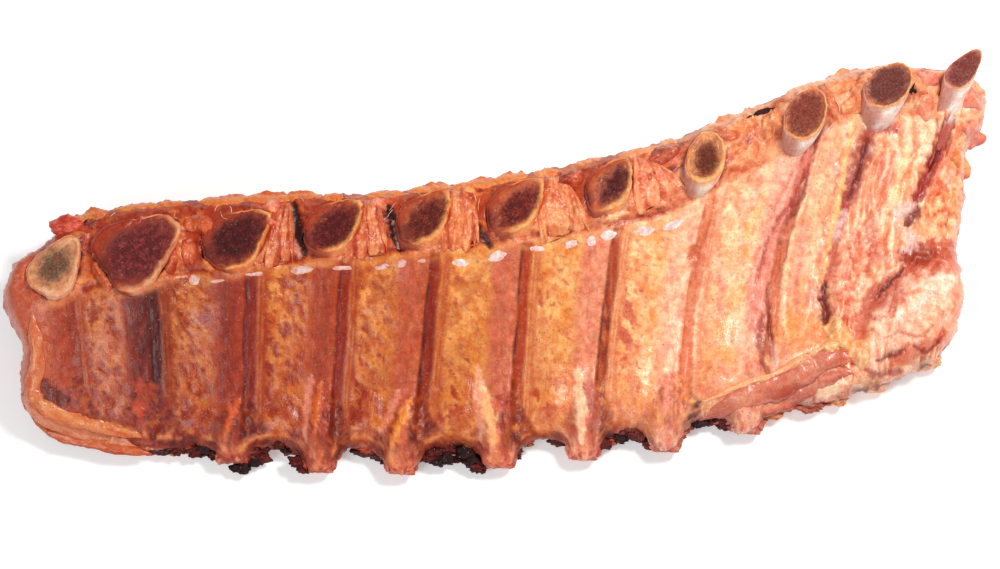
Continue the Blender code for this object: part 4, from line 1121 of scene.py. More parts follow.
def make_bone(number):
    """A rib: an oval shaft that widens and turns into the sawn face, which has a pale lip at its
    lower right, a dark granular middle, and sinks into the meat at its upper left."""
    rib, face, line = RIBS[number - 1], FACES[number - 1], rib_line(number)
    leaning = 2 <= number <= 7
    shares = spread(BONE_ALONG, 0, 1, lambda t: 1 + 1.2 * ease(t, 0.7, 0.9) + 2 * bell(t, 0, 0.02))
    centre = np.stack([f(shares) for f in line], axis=-1)
    ahead = np.stack([f(np.minimum(shares + 0.02, 1)) for f in line], axis=-1)
    behind = np.stack([f(np.maximum(shares - 0.02, 0)) for f in line], axis=-1)
    along = ahead - behind
    along /= np.linalg.norm(along, axis=1)[:, None]
    aside = np.cross(along, (0, 0, 1))
    aside /= np.linalg.norm(aside, axis=1)[:, None]
    inward = np.cross(aside, along)
    turn = math.radians(rib["turn"])
    long_way = np.array([math.cos(turn), math.sin(turn), 0]) * rib["half"][0]
    short_way = np.array([math.sin(turn), -math.cos(turn), 0]) * rib["half"][1]
    flare = ease(shares, FLARE_FROM, 1)[:, None]
    wide = aside * SHAFT_HALF[0] * (1 - flare) + long_way * flare
    thick = inward * SHAFT_HALF[1] * (1 - flare) + short_way * flare
    angles = np.arange(BONE_AROUND) * 2 * math.pi / BONE_AROUND
    power = 1.55 if leaning and number > 2 else 2
    leaf = (np.abs(np.cos(angles)) ** power + np.abs(np.sin(angles)) ** power) ** (-1 / power)
    swell = 1 + (leaf * (1 + rib["corners"] * np.cos(3 * angles)) - 1) * flare
    swell = swell + 0.05 * rough(3 * np.cos(angles) + 9 * number, 3 * np.sin(angles), 91) * flare
    swell = swell + 0.025 * rough(9 * np.cos(angles) + 9 * number, 9 * np.sin(angles), 102) * flare
    side_x, side_y = (np.cos(angles) * swell)[..., None], (np.sin(angles) * swell)[..., None]
    shaft = centre[:, None] + side_x * wide[:, None] + side_y * thick[:, None]
    shaft = shaft + 0.25 * rough(shares[:, None] * 40, angles[None, :] * 2, 92)[..., None] * inward[:, None]

    # the stub's cut end, from its middle outwards
    inner = np.array([0.08, 0.3, 0.52, 0.7, 0.84, 0.94])[:, None, None]
    cut = centre[0] + (shaft[0] - centre[0]) * inner
    pit = 0.4 * rough(cut[..., 0] / 1.2, cut[..., 2] / 1.2, 93) - 0.5 * (1 - ease(inner[..., 0], 0.5, 0.8))
    cut = cut + along[0] * (-pit[..., None] - 0.35 * (1 - inner**4))

    # the sawn face, from its outline inwards
    rho = np.linspace(0.985, 0.02, FACE_RINGS)[:, None]
    reach = math.hypot(*rib["half"]) / 1.4

    def lower_right_of(points):
        return lower_right_of_face(number, points[..., 0], points[..., 1])

    lean = FACE_LEAN[number - 1]
    shaft[..., 2] += lean * lower_right_of(shaft) * ease(shares, 0.85, 1)[:, None]
    face_points = centre[-1] + (shaft[-1] - centre[-1]) * rho[..., None]
    gx, gy = face_points[..., 0], face_points[..., 1]
    fx, fy = gx - centre[-1, 0], gy - centre[-1, 1]
    lower_right = lower_right_of(face_points)
    to_right = np.clip(0.75 * lower_right + 0.5 * fx / reach, -1, 1)
    if not leaning:
        to_right = to_right * 0.5 + 0.4
    core_x, core_y = fx / reach - face["shift"][0], fy / reach - face["shift"][1]
    c, s = math.cos(turn), math.sin(turn)
    core_far = np.hypot(
        (core_x * c + core_y * s) * reach / rib["half"][0] / (1.25 if leaning else 1),
        (core_y * c - core_x * s) * reach / rib["half"][1],
    )
    core_far = core_far + 0.17 * rough(gx / 3.5, gy / 3.5, 94) + 0.08 * rough(gx / 1.1, gy / 1.1, 103)
    core = 1 - ease(core_far, face["size"] - 0.26, face["size"] + 0.16)
    seep = 1 - ease(core_far, face["size"] - 0.1, face["size"] + 0.5)
    near_first, _, pebble_shade = pebbles(gx / 0.62, gy / 0.62, 95)
    lip = ease(rho, 1 - face["lip"] * np.clip(0.45 + lower_right, 0.1, 1.2) - 0.06, 1 - 0.3 * face["lip"])
    lip = lip * ease(to_right, 0.0, 0.45)
    rim = ease(rho + 0.03 * rough(gx / 2, gy / 2, 104), 0.86, 0.94) * ease(to_right, -0.1, 0.3)
    height = 0.9 * lip + 0.3 * rim - 0.9 * ease(rho, 0.9, 1.0) ** 2
    height = height + core * (0.2 - 0.5 * near_first) - 0.25 * core + 0.22 * rough(gx / 1.5, gy / 1.5, 96)
    height = height - (0.9 if leaning else 0) * ease(-lower_right, 0.2, 1.0) * ease(rho, 0.4, 1)
    face_points = face_points + np.stack([0 * height, 0 * height, height], axis=-1)

    face_tint = np.broadcast_to(tone(*face["flat"]), face_points.shape)
    face_tint = lay(face_tint, tone(214, 122, 66), patches(gx, gy, 3.5, 97, 0.0, 0.5) * 0.45)
    face_tint = lay(face_tint, tone(116, 40, 32), patches(gx, gy, 4.5, 98, 0.05, 0.45) * 0.45)
    face_tint = lay(face_tint, tone(*(0.55 * np.array(face["core"]) + 0.45 * np.array(face["flat"]))), seep * 0.75)
    core_tint = np.broadcast_to(tone(*face["core"]), face_tint.shape)
    core_tint = lay(core_tint, core_tint * 2.2 + 0.02, patches(gx, gy, 3, 107, -0.1, 0.4) * (0.6 if leaning else 0))
    core_tint = lay(core_tint, core_tint * 1.9 + 0.02, ease(pebble_shade, 0.7, 1) * (0.5 if leaning else 0.25))
    core_tint = lay(core_tint, core_tint * 0.5, ease(pebble_shade, 0.5, 0.1) * 0.5)
    face_tint = lay(face_tint, core_tint, core * 0.95)
    lip_tint = tone(250, 196, 132) if number > 2 else tone(240, 184, 144)
    face_tint = lay(face_tint, lip_tint, lip * (1 - 0.85 * core) * (0.85 + 0.3 * rough(gx / 2.5, gy / 2.5, 105)))
    face_tint = lay(face_tint, tone(236, 138, 72), rim * 0.7 * (1 - 0.7 * lip))
    merge = (0.9 if leaning else 0.0) * ease(-to_right, 0.0, 0.55) * ease(rho, 0.55, 0.95)
    face_tint = lay(face_tint, tone(176, 76, 48), merge)
    face_tint = lay(face_tint, tone(92, 34, 30), merge * ease(-fy / reach, -0.15, 0.45) * 0.9)

    # the shaft's sides: pale and clean under the faces on the right, pink on the left, darker and pinker down towards
    # the meat
    depth = (rib["face_z"] + lean * lower_right_of(shaft) - shaft[..., 2]) / 14
    right_side = np.clip(0.5 + 0.7 * (shaft[..., 0] - centre[:, None, 0]) / 9, 0, 1)
    clean = along_rack(
        np.array(float(number)), (1, (236, 190, 180)), (2, (232, 178, 166)), (3, (226, 140, 104)),
        (7, (240, 166, 120)), (8, (255, 236, 218)), (9, (255, 246, 240)),
    )
    sides = np.broadcast_to(clean, shaft.shape)
    sides = lay(sides, tone(190, 96, 84), ease(depth + 0.2 * rough(shaft[..., 0] / 3, shaft[..., 1] / 3, 99), 0.6, 1.1))
    # the darker left side: partly meat over that side, partly painted shade
    left_meat_and_shade = tone(150, 66, 50) if leaning else tone(206, 140, 126)
    sides = lay(sides, left_meat_and_shade, ease(1 - right_side + (0 if leaning else -0.12), 0.4, 0.75) * 0.9)
    sides = lay(sides, tone(240, 164, 100), (1 - ease(depth, 0.02, 0.14)) * 0.8 * right_side)
    stub = 1 - ease(shares[:, None], 0.05, 0.14) + 0 * sides[..., 0]
    stub_tint = along_rack(np.array(float(number)), (1, (176, 96, 78)), (5, (214, 128, 104)), (9, (196, 104, 88)))
    sides = lay(sides, stub_tint, stub)
    sides = lay(sides, tone(240, 176, 148), stub * patches(shaft[..., 0], shaft[..., 1] * 3, 3, 100, 0.0, 0.5) * 0.7)
    sides = lay(sides, tone(130, 54, 48), stub * patches(shaft[..., 0], shaft[..., 2], 3, 101, 0.2, 0.5) * 0.7)
    cut_tint = np.broadcast_to(tone(150, 76, 66), cut.shape)
    cut_tint = lay(cut_tint, tone(226, 160, 132), ease(inner[..., 0], 0.6, 0.85) + 0 * cut[..., 0])

    grid = np.concatenate([cut, shaft, face_points])
    tint = np.concatenate([cut_tint, sides, face_tint])
    wet = np.concatenate([0 * cut[..., 0] + 0.3, 0 * shaft[..., 0] + 0.35, 0.6 - 0.3 * core])
    grain = np.concatenate([0 * cut[..., 0] + 0.7, 0.15 + 0 * shaft[..., 0], core * 0.8])
    pile = Pile(smoked=0.5 if leaning else 0)
    pile.add_grid(grid, tint, np.stack([wet, grain, 0 * wet], axis=-1))
    piece = pile.finish(f"rib_bone_{number:02d}", bone_finish)
    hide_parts(f"rib_{number:02d}")


# ------------------------------------------------------------------ lumps and rolls laid on it


def colour_run(tones, shade):
    """A colour from a run of tones, where the shade goes from 0 to 1."""
    at = np.linspace(0, 1, len(tones))
    made = np.array([tone(*t) for t in tones])
    return np.stack([np.interp(shade, at, made[:, k]) for k in range(3)], axis=-1)


def pad(pile, outline, height, tones, seed, areas=(), wet=0.6, grain=0.0, lumpy=0.3, size=5, sink=1.2, steep=2.4, rings=22, sides=72):
    """A lump that lies on the slab inside an outline, given as points (x, y) round its middle."""
    outline = np.array(outline, float)
    loop = through(np.concatenate([outline[-2:], outline, outline[:2]]), 6 * (len(outline) + 4))
    steps = np.hypot(*np.diff(loop, axis=0).T)
    run = np.concatenate([[0], np.cumsum(steps)])
    third = (len(outline) + 4 - 1) / (len(loop) - 1)
    start, end = run[round(2 / third)], run[min(round((len(outline) + 2) / third), len(run) - 1)]
    at = np.linspace(start, end, sides, endpoint=False)
    edge = np.stack([np.interp(at, run, loop[:, k]) for k in (0, 1)], axis=-1)
    middle = edge.mean(axis=0)
    angle = np.arange(sides) * 2 * math.pi / sides
    edge = middle + (edge - middle) * (1 + 0.06 * rough(2.2 * np.cos(angle) + seed, 2.2 * np.sin(angle), seed))[:, None]
    below, above = np.linspace(0.1, 1, 5)[:-1], np.cos(np.linspace(0, math.pi / 2 * 0.97, rings))
    rho = np.concatenate([below, above])[:, None]
    flat = middle + (edge - middle) * rho[..., None]
    x, y = flat[..., 0], flat[..., 1]
    dome = (1 - np.clip(rho, 0, 1) ** steep) ** (1 / 1.6)
    upper = np.concatenate([np.zeros(len(below)), np.ones(rings)])[:, None]
    bumps = lumpy * (rough(x / size, y / size, seed + 1) + 0.3 * rough(x * 2.7 / size, y * 2.7 / size, seed + 2))
    z = skin_height(x, y) - sink + upper * (height + sink) * dome + upper * dome * bumps * min(height, 4)
    z = np.maximum(z, 0.3)
    grid = np.stack([x, y, z], axis=-1)
    # paler towards the top of the dome: painted light, with random tone on top of it
    shade = np.clip(0.25 + 0.5 * dome + 0.55 * rough(x / size, y / size, seed + 3), 0, 1)
    masks = np.stack(np.broadcast_arrays(wet + 0.15 * bumps, grain, 0.0 * x), axis=-1)
    tint = colour_run(tones, shade)
    for at, half, turn, colour, strength in areas:
        tint = lay(tint, tone(*colour), blotch(x, y, at, half, turn, seed + 4, 0.5) * strength)
    pile.add_grid(grid, tint, masks)


def oval(at, half, turn=0.0, wander=0.12, seed=0, count=10):
    """An uneven oval outline, as points (x, y)."""
    angle = np.arange(count) * 2 * math.pi / count
    reach = 1 + wander * (2 * scramble(np.arange(count), np.full(count, 7), seed=seed) - 1)
    x, y = np.cos(angle) * half[0] * reach, np.sin(angle) * half[1] * reach
    c, s = math.cos(math.radians(turn)), math.sin(math.radians(turn))
    return np.stack([at[0] + x * c - y * s, at[1] + x * s + y * c], axis=-1)


def roll(pile, path, half, rise, tones, seed, wet=0.6, grain=0.0, blunt=(0.5, 0.5), lift=0.0, rings=36, sides=20, twist=0.0, lumpy=0.16, knots=9):
    """A rounded strand that lies along a path on the slab. half is its half-width and rise how
    far it stands out, each as one number or as several along the path."""
    points = through(path, rings)
    at = np.linspace(0, 1, rings)
    half = np.interp(at, np.linspace(0, 1, np.size(half)), np.atleast_1d(half).astype(float))
    rise = np.interp(at, np.linspace(0, 1, np.size(rise)), np.atleast_1d(rise).astype(float))
    taper = np.clip(at / 0.22, 0, 1) ** blunt[0] * np.clip((1 - at) / 0.22, 0, 1) ** blunt[1]
    taper = np.maximum(taper, 0.05)
    ahead = np.gradient(points, axis=0)
    ahead /= np.linalg.norm(ahead, axis=1)[:, None]
    aside = np.stack([ahead[:, 1], -ahead[:, 0]], axis=-1)
    angle = np.arange(sides) * 2 * math.pi / sides
    swell = 1 + lumpy * rough(at[:, None] * knots + seed, np.cos(angle)[None, :] * 1.3, seed)
    out = np.cos(angle)[None, :] * swell * (half * taper)[:, None]
    x = points[:, :1] + aside[:, :1] * out
    y = points[:, 1:] + aside[:, 1:] * out
    ground = skin_height(points[:, 0], points[:, 1])[:, None] * 0.5 + skin_height(x, y) * 0.5
    up = np.sin(angle)[None, :] * swell * (rise * taper)[:, None]
    dive = (rise * (1 - np.clip(taper, 0, 1)) ** 2)[:, None]
    z = np.maximum(ground + lift + up * np.where(up > 0, 1, 0.7) - dive, 0.3)
    # paler on the roll's upper side and darker underneath: painted light and shade, with random tone on top of it
    shade = 0.42 + 0.33 * np.sin(angle)[None, :] + 0.3 * rough(at[:, None] * 5 + seed, angle[None, :] * 1.2 + twist * at[:, None], seed + 5)
    masks = np.broadcast_to(np.array([wet, grain, 0.0]), (*x.shape, 3))
    pile.add_grid(np.stack([x, y, z], axis=-1), colour_run(tones, np.clip(shade, 0, 1)), masks)


def lean_between(low, high, key, seed):
    """A number between low and high, picked by a whole number."""
    return low + (high - low) * float(scramble(np.array(key), np.array(3), seed=seed))


def ball(pile, at, half, tones, seed, wet=0.6, grain=0.0, turn=0.0, lumpy=0.14, rings=26, sides=40):
    """A free lump of meat or fat round a point (x, y, z)."""
    down = np.linspace(0.06, math.pi - 0.06, rings)[:, None]
    round_about = (np.arange(sides) * 2 * math.pi / sides)[None, :]
    px, py, pz = np.sin(down) * np.cos(round_about), np.sin(down) * np.sin(round_about), np.cos(down) + 0 * round_about
    swell = 1 + lumpy * (rough(px * 1.6 + seed, py * 1.6 + pz, seed) + 0.5 * rough(px * 4, py * 4 + pz * 2 + seed, seed + 1))
    c, s = math.cos(math.radians(turn)), math.sin(math.radians(turn))
    ox, oy = px * half[0] * swell, py * half[1] * swell
    grid = np.stack([at[0] + ox * c - oy * s, at[1] + ox * s + oy * c, at[2] + pz * half[2] * swell], axis=-1)
    # paler towards the lump's top and darker underneath: painted light and shade, with random tone on top of it
    shade = 0.5 + 0.25 * pz + 0.5 * rough(px * 2 + seed, py * 2 + pz, seed + 3)
    masks = np.broadcast_to(np.array([wet, grain, 0.0]), grid.shape)
    pile.add_grid(grid, colour_run(tones, np.clip(shade, 0, 1)), masks)


# ------------------------------------------------------------------ finishes


def flesh(name, fibre=0.42, mottle=0.74, gloss=0.2, coat=0.14, relief=0.7, soft=0.08):
    """The finish of one kind of tissue: its colour with fibres, mottling, a net of fine strands
    and rust specks, small painted glints, a wet sheen, and a fine relief."""
    s = Shader(name)
    place = s.node("ShaderNodeTexCoord", output=3)
    along = s.node("ShaderNodeUVMap", dict(uv_map="along_ribs"))
    tint = s.attribute("tint", "Color")
    wet, grain, net = s.attribute("wet"), s.attribute("grain"), s.attribute("net")
    stretched = s.node("ShaderNodeMapping", Vector=along, Scale=(8.0, 1.3, 1.0))
    fibres = s.node("ShaderNodeTexNoise", Vector=stretched, Scale=1.0, Detail=3.0, Roughness=0.6, Distortion=0.4)
    clouds = s.node("ShaderNodeTexNoise", Vector=place, Scale=300.0, Detail=4.0, Roughness=0.62)
    fine = s.node("ShaderNodeTexNoise", Vector=place, Scale=1250.0, Detail=3.0, Roughness=0.6)
    lean = s.node("ShaderNodeMapping", Vector=place, Rotation=(0.0, 0.0, 0.42), Scale=(430.0, 165.0, 60.0))
    warp = s.node("ShaderNodeTexNoise", Vector=place, Scale=260.0, Detail=2.0, output=1)
    warped = s.node("ShaderNodeVectorMath", dict(operation="MULTIPLY_ADD"), i0=warp, i1=(2.2, 2.2, 0.0), i2=lean)
    meshes = s.node("ShaderNodeTexVoronoi", dict(feature="DISTANCE_TO_EDGE"), Vector=warped, Scale=1.0)
    cells = s.node("ShaderNodeTexVoronoi", dict(feature="F1"), output=1, Vector=warped, Scale=1.0)
    cell_pick = s.node("ShaderNodeSeparateColor", Color=cells)
    strand = (1 - meshes.between(0.02, 0.16)) * net
    red_cell = cell_pick.between(0.5, 0.75) * meshes.between(0.08, 0.22) * net
    dots = s.node("ShaderNodeTexVoronoi", dict(feature="F1"), Vector=place, Scale=420.0, Randomness=1.0)
    speck = (1 - dots.between(0.12, 0.26)) * clouds.between(0.48, 0.56)
    grit = s.node("ShaderNodeTexVoronoi", dict(feature="F1"), Vector=place, Scale=1100.0)

    shade = 1 - 0.5 * mottle + clouds * mottle + (fibres - 0.5) * fibre + (fine - 0.5) * 0.7
    colour = s.node("ShaderNodeVectorMath", dict(operation="SCALE"), i0=tint, i3=shade)
    warmth = s.mix((1.06, 0.74, 0.62, 1), (1.0, 1.06, 1.04, 1), clouds.between(0.36, 0.6))
    colour = s.mix(colour, warmth, 0.8, "MULTIPLY")
    colour = s.mix(colour, s.mix(colour, (1.16, 1.3, 1.3, 1), 1.0, "MULTIPLY"), strand * 0.75)
    colour = s.mix(colour, s.mix(colour, (0.86, 0.56, 0.5, 1), 1.0, "MULTIPLY"), red_cell * 0.7)
    colour = s.mix(colour, s.mix(colour, (0.62, 0.36, 0.3, 1), 1.0, "MULTIPLY"), speck * 0.7)
    colour = s.mix(colour, s.mix(colour, (0.34, 0.3, 0.3, 1), 1.0, "MULTIPLY"), grit.between(0.25, 0.6) * grain * 0.7)
    # small pale dots where the surface is wet: painted glints in the base colour, also raised a little in the bump
    glint_spots = s.node("ShaderNodeTexVoronoi", dict(feature="SMOOTH_F1"), Vector=place, Scale=560.0, Smoothness=0.3)
    glint = (1 - glint_spots.between(0.08, 0.22)) * clouds.between(0.44, 0.54) * wet
    colour = s.mix(colour, s.mix(colour, (1.0, 0.86, 0.74, 1), 0.6), glint * 0.6)
    height = clouds * 0.5 + fibres * 0.25 + fine * 0.25 + glint * 0.5 + strand * 0.08 - grit * grain * 1.2
    bump = s.node("ShaderNodeBump", Strength=relief, Distance=0.0009, Height=height)
    rough_ness = gloss + 0.28 - wet * 0.3 + (fine - 0.5) * 0.2 + grain * 0.3
    s.set(
        Base_Color=colour, Roughness=rough_ness, Normal=bump,
        Coat_Weight=(wet - grain * 0.6) * coat, Coat_Roughness=0.1, Specular_IOR_Level=0.38,
        Subsurface_Weight=soft, Subsurface_Scale=0.003, Subsurface_Radius=(1.0, 0.45, 0.3),
    )
    return s.material


meat_finish = flesh("smoked meat")
bone_finish = flesh("rib bone", fibre=0.1, mottle=0.2, gloss=0.4, coat=0.15, relief=0.45, soft=0.05)
fat_finish = flesh("rendered fat", fibre=0.2, mottle=0.3, gloss=0.2, coat=0.14, relief=0.6, soft=0.2)
sinew_finish = flesh("sinew", fibre=0.25, mottle=0.2, gloss=0.2, coat=0.14, relief=0.45, soft=0.15)
char_finish = flesh("char", fibre=0.3, mottle=0.5, gloss=0.5, coat=0.1, relief=1.0, soft=0.0)

# ------------------------------------------------------------------ the pieces

PINK = ((176, 72, 58), (232, 134, 108), (248, 178, 148))
ORANGE = ((196, 92, 52), (238, 146, 88), (252, 190, 130))
RUST = ((120, 44, 30), (176, 82, 52), (214, 122, 80))
CREAM = ((226, 150, 96), (246, 196, 142), (255, 222, 178))
LILAC = ((206, 152, 146), (228, 190, 184), (240, 212, 208))
WHITE = ((220, 176, 170), (238, 212, 208), (250, 234, 232))
SOOT = ((44, 16, 16), (96, 36, 32), (150, 66, 52))
BLACK = ((22, 10, 12), (48, 20, 20), (84, 40, 36))

# Fans of muscle between the faces: the two ends of their upper edge and of their lower edge, how
# many bundles, and their tones.
FANS = (
    ((-96, 25), (-89, 24), (-104, -2), (-88, -2), 3, ((120, 40, 26), (196, 102, 66), (240, 176, 134))),
    ((-63, 26), (-52, 26), (-67, 0), (-48, 1), 3, ((124, 42, 28), (200, 106, 70), (246, 184, 140))),
    ((-23, 31), (-12, 32), (-25, 4), (-9, 5), 3, ((130, 44, 28), (210, 118, 76), (252, 194, 146))),
    ((17, 38), (28, 36), (17, 9), (38, 12), 3, ((134, 48, 28), (216, 122, 76), (252, 194, 140))),
    ((57, 45), (66, 43), (58, 20), (80, 30), 3, ((150, 56, 34), (222, 120, 76), (250, 176, 124))),
)


def make_fan(pile, corners, bundles, tones, seed, rise=2.6, rings=70, sides=180):
    """A fan of muscle: bundles side by side that widen from a narrow top to blunt feet."""
    top_left, top_right, left, right = (np.array(corner, float) for corner in corners)
    down = np.linspace(0, 1, rings)[:, None]
    angle = (np.arange(sides) * 2 * math.pi / sides)[None, :]
    aside = np.cos(angle) + 0 * down
    phase = bundles * (aside + 1) / 2 + 0.55 * rough(aside * 1.1 + seed, down * 1.2, seed) + 0.3
    which, part = np.floor(phase), phase % 1
    ridge = (4 * part * (1 - part)) ** 0.5
    reach = down * (0.86 + 0.12 * ridge + 0.16 * scramble(which, np.full_like(which, 5), seed=seed))
    low, high = top_left + (left - top_left) * reach[..., None], top_right + (right - top_right) * reach[..., None]
    wide = aside * (1 + 0.16 * np.sin(math.pi * reach)) / 2 + 0.5
    place = low + (high - low) * wide[..., None]
    x, y = place[..., 0], place[..., 1]
    foot = np.sqrt(np.clip(1 - (np.maximum(down - 0.8, 0) / 0.2) ** 2, 0, 1))
    dome = ease(down, 0, 0.25) ** 0.6 * foot * np.clip(1 - np.abs(aside) ** 5, 0, 1) ** 0.5
    level = 0.75 + 0.5 * scramble(which, np.full_like(which, 8), seed=seed)
    up = rise * dome * (0.84 + 0.16 * ridge * level + 0.14 * rough(phase * 1.4, down * 4, seed + 1))
    z = skin_height(x, y) + np.where(np.sin(angle) >= 0, up, -1.2) - 0.3
    streak = rough(phase * 2.4, down * 1.8 + seed, seed + 2)
    # paler on the bundles' crests and darker in the creases between them: painted light and shade, with streaks of
    # their own colour
    shade = 0.36 + 0.26 * ridge * level + 0.34 * streak + 0.24 * rough(aside * 2.4, down * 3, seed + 3) + 0.16 * down
    tint = colour_run(tones, np.clip(shade, 0, 1))
    tint = lay(tint, tone(255, 208, 176), ease(np.abs(streak), 0.08, 0.0) * ridge * 0.35)
    masks = np.broadcast_to(np.array([0.6, 0.0, 0.0]), (*x.shape, 3))
    pile.add_grid(np.stack([x, y, z], axis=-1), tint, masks)


def make_fans():
    pile = Pile()
    for number, (*corners, bundles, tones) in enumerate(FANS):
        make_fan(pile, corners, bundles, tones, 200 + 20 * number)
    return pile.finish("muscle_fans", meat_finish)


# Single lumps: place, half sizes, turn, height, tones.
LUMPS = (
    ((-168, -7), (5.0, 8.5), 20, 3.2, ((176, 84, 58), (214, 128, 92), (232, 158, 120))),
    ((-127, 14), (5.5, 8.5), 75, 2.6, ((160, 70, 46), (204, 112, 74), (226, 146, 104))),
    ((-124, -4), (3.0, 4.5), 60, 2.0, ((176, 84, 56), (222, 138, 92), (240, 176, 128))),
    ((-132, 2), (3.2, 7.5), 5, 2.4, ((168, 76, 54), (208, 120, 84), (228, 150, 112))),
    ((-140, -1), (3.6, 8.0), 12, 2.6, ((166, 72, 50), (206, 116, 80), (226, 148, 110))),
    ((-120, 5), (2.4, 6.5), 150, 2.2, ((170, 80, 60), (210, 124, 92), (230, 156, 122))),
    ((-98, 14), (3.4, 7.0), 70, 2.8, PINK), ((-97, 22), (4.6, 5.4), 40, 3.0, PINK),
    ((-52, 24), (3.4, 4.2), 60, 2.2, PINK),
    ((-14, 30), (3.0, 4.4), 80, 2.2, ORANGE),
    ((30, 34), (7.0, 4.4), 20, 3.0, RUST), ((22, 26), (2.4, 6.0), 95, 2.0, PINK),
    ((70, 46), (8.0, 4.6), 24, 3.2, RUST), ((64, 35), (5.5, 3.6), 60, 2.6, RUST),
    ((84, 34), (3.0, 6.0), 100, 2.2, ORANGE),
    ((103, 58), (7.5, 5.0), 20, 2.2, ORANGE), ((116, 58), (5.2, 4.6), 0, 1.6, ORANGE),
    ((146, 76), (7.0, 5.0), 25, 2.8, ORANGE), ((152, 66), (6.0, 4.2), 10, 2.4, ORANGE),
    ((157, 75), (5.0, 4.0), 40, 2.2, ORANGE), ((184, 78), (5.0, 5.5), 60, 2.4, PINK),
    ((183, 66), (4.2, 5.0), 20, 2.0, ((214, 110, 80), (242, 150, 116), (252, 190, 150))),
    ((203, 70), (4.6, 7.0), 100, 3.4, ((196, 84, 66), (236, 134, 106), (250, 176, 140))),
    ((205, 58), (4.0, 6.0), 80, 3.0, PINK), ((200, 46), (4.5, 6.0), 70, 2.6, ORANGE),
    ((145, -29), (5.5, 8.5), 35, 4.0, ((236, 150, 90), (252, 196, 128), (255, 220, 164))),
    ((153, -38), (4.5, 7.5), 10, 3.4, ((230, 146, 96), (250, 190, 130), (255, 216, 164))),
    ((140, -37), (6.0, 3.6), 30, 2.4, ((226, 134, 84), (250, 186, 120), (255, 214, 156))),
)


def make_lumps():
    pile = Pile()
    for k, (at, half, turn, height, tones) in enumerate(LUMPS):
        pad(pile, oval(at, half, turn, 0.2, seed=300 + k), height, tones, 320 + 4 * k, wet=0.75, lumpy=0.5, steep=1.9)
    return pile.finish("fat_lumps", fat_finish)


def make_back_edge_fat():
    """The ragged, browned fat along the sawn back edge, as short rolls end to end."""
    pile = Pile()
    starts = spread(20, -184, 176, lambda x: 1 + 0 * x)[:-1]
    for k, start in enumerate(starts):
        seed = 520 + 6 * k
        length = lean_between(8, 24, k, seed)
        x = np.array([start, start + length / 2, start + length])
        y = back_y_of(x) - lean_between(2.2, 4.4, k, seed + 1) + np.array([0, lean_between(-0.6, 1.2, k, seed + 2), 0])
        warm = (start + 184) / 360
        tones = tuple(tuple(np.array(low) * (1 - warm) + np.array(high) * warm) for low, high in zip(
            ((158, 74, 42), (216, 124, 70), (242, 174, 106)), ((206, 108, 70), (246, 164, 112), (255, 200, 150))
        ))
        thick = lean_between(1.8, 3.4, k, seed + 3)
        roll(
            pile, np.stack([x, y], axis=-1), (thick, thick * 1.3, thick), thick * 0.45, tones, seed, rings=44,
            sides=20, lumpy=0.45, lift=-0.3, twist=6, knots=4,
        )
    return pile.finish("back_edge_fat", fat_finish)


# White flecks of gristle under the faces: place, length, height, turn.
FLECKS = (
    ((-160, -14), 6.0, 2.2, 8), ((-130, -10), 4.6, 5.4, 60), ((-120, -11), 8.0, 1.7, 6),
    ((-103, -8), 10.5, 1.7, 5), ((-84, -6), 12.0, 3.6, 8), ((-67, -5), 11.0, 1.9, 4),
    ((-50, -4), 6.4, 2.3, 6), ((-42, -3), 4.0, 5.2, 100), ((-33, -2), 4.2, 1.8, 8),
    ((-17, -2), 8.2, 3.2, 4), ((-1, 0.5), 10.0, 4.0, 12), ((16, 4), 7.4, 2.6, 8), ((30, 6), 7.0, 3.1, 17),
    ((39, 7), 6.2, 3.6, 100), ((46.5, 9.5), 7.6, 4.2, 14), ((62, 12.5), 8.8, 4.2, 10), ((74, 15.5), 9.8, 3.8, 22),
)


def make_flecks():
    pile = Pile()
    for k, (at, length, height, turn) in enumerate(FLECKS):
        outline = oval(at, (length * 0.6, height * 0.66), turn, 0.2, seed=700 + k, count=9)
        pad(pile, outline, 0.25, LILAC if k < 9 else WHITE, 720 + 3 * k, wet=0.8, lumpy=0.1, size=2, sink=0.5, steep=2.0, rings=14, sides=60)
    return pile.finish("gristle_flecks", sinew_finish)


LEFT_RIM_PATH = (
    (-199, -22), (-198, -32), (-197, -43), (-199, -53), (-197, -60), (-188, -65), (-175, -68.5), (-162, -71.5), (-148, -74),
)
STRIP_PATH = ((84, -64), (94, -60), (103, -56.5), (113, -53), (124, -48), (134, -43), (144, -39), (153, -40))


def beside(path, shift):
    """A path moved sideways, to the left of its direction if the shift is positive."""
    path = np.array(path, float)
    ahead = np.gradient(path, axis=0)
    ahead /= np.linalg.norm(ahead, axis=1)[:, None]
    return path + shift * np.stack([-ahead[:, 1], ahead[:, 0]], axis=-1)


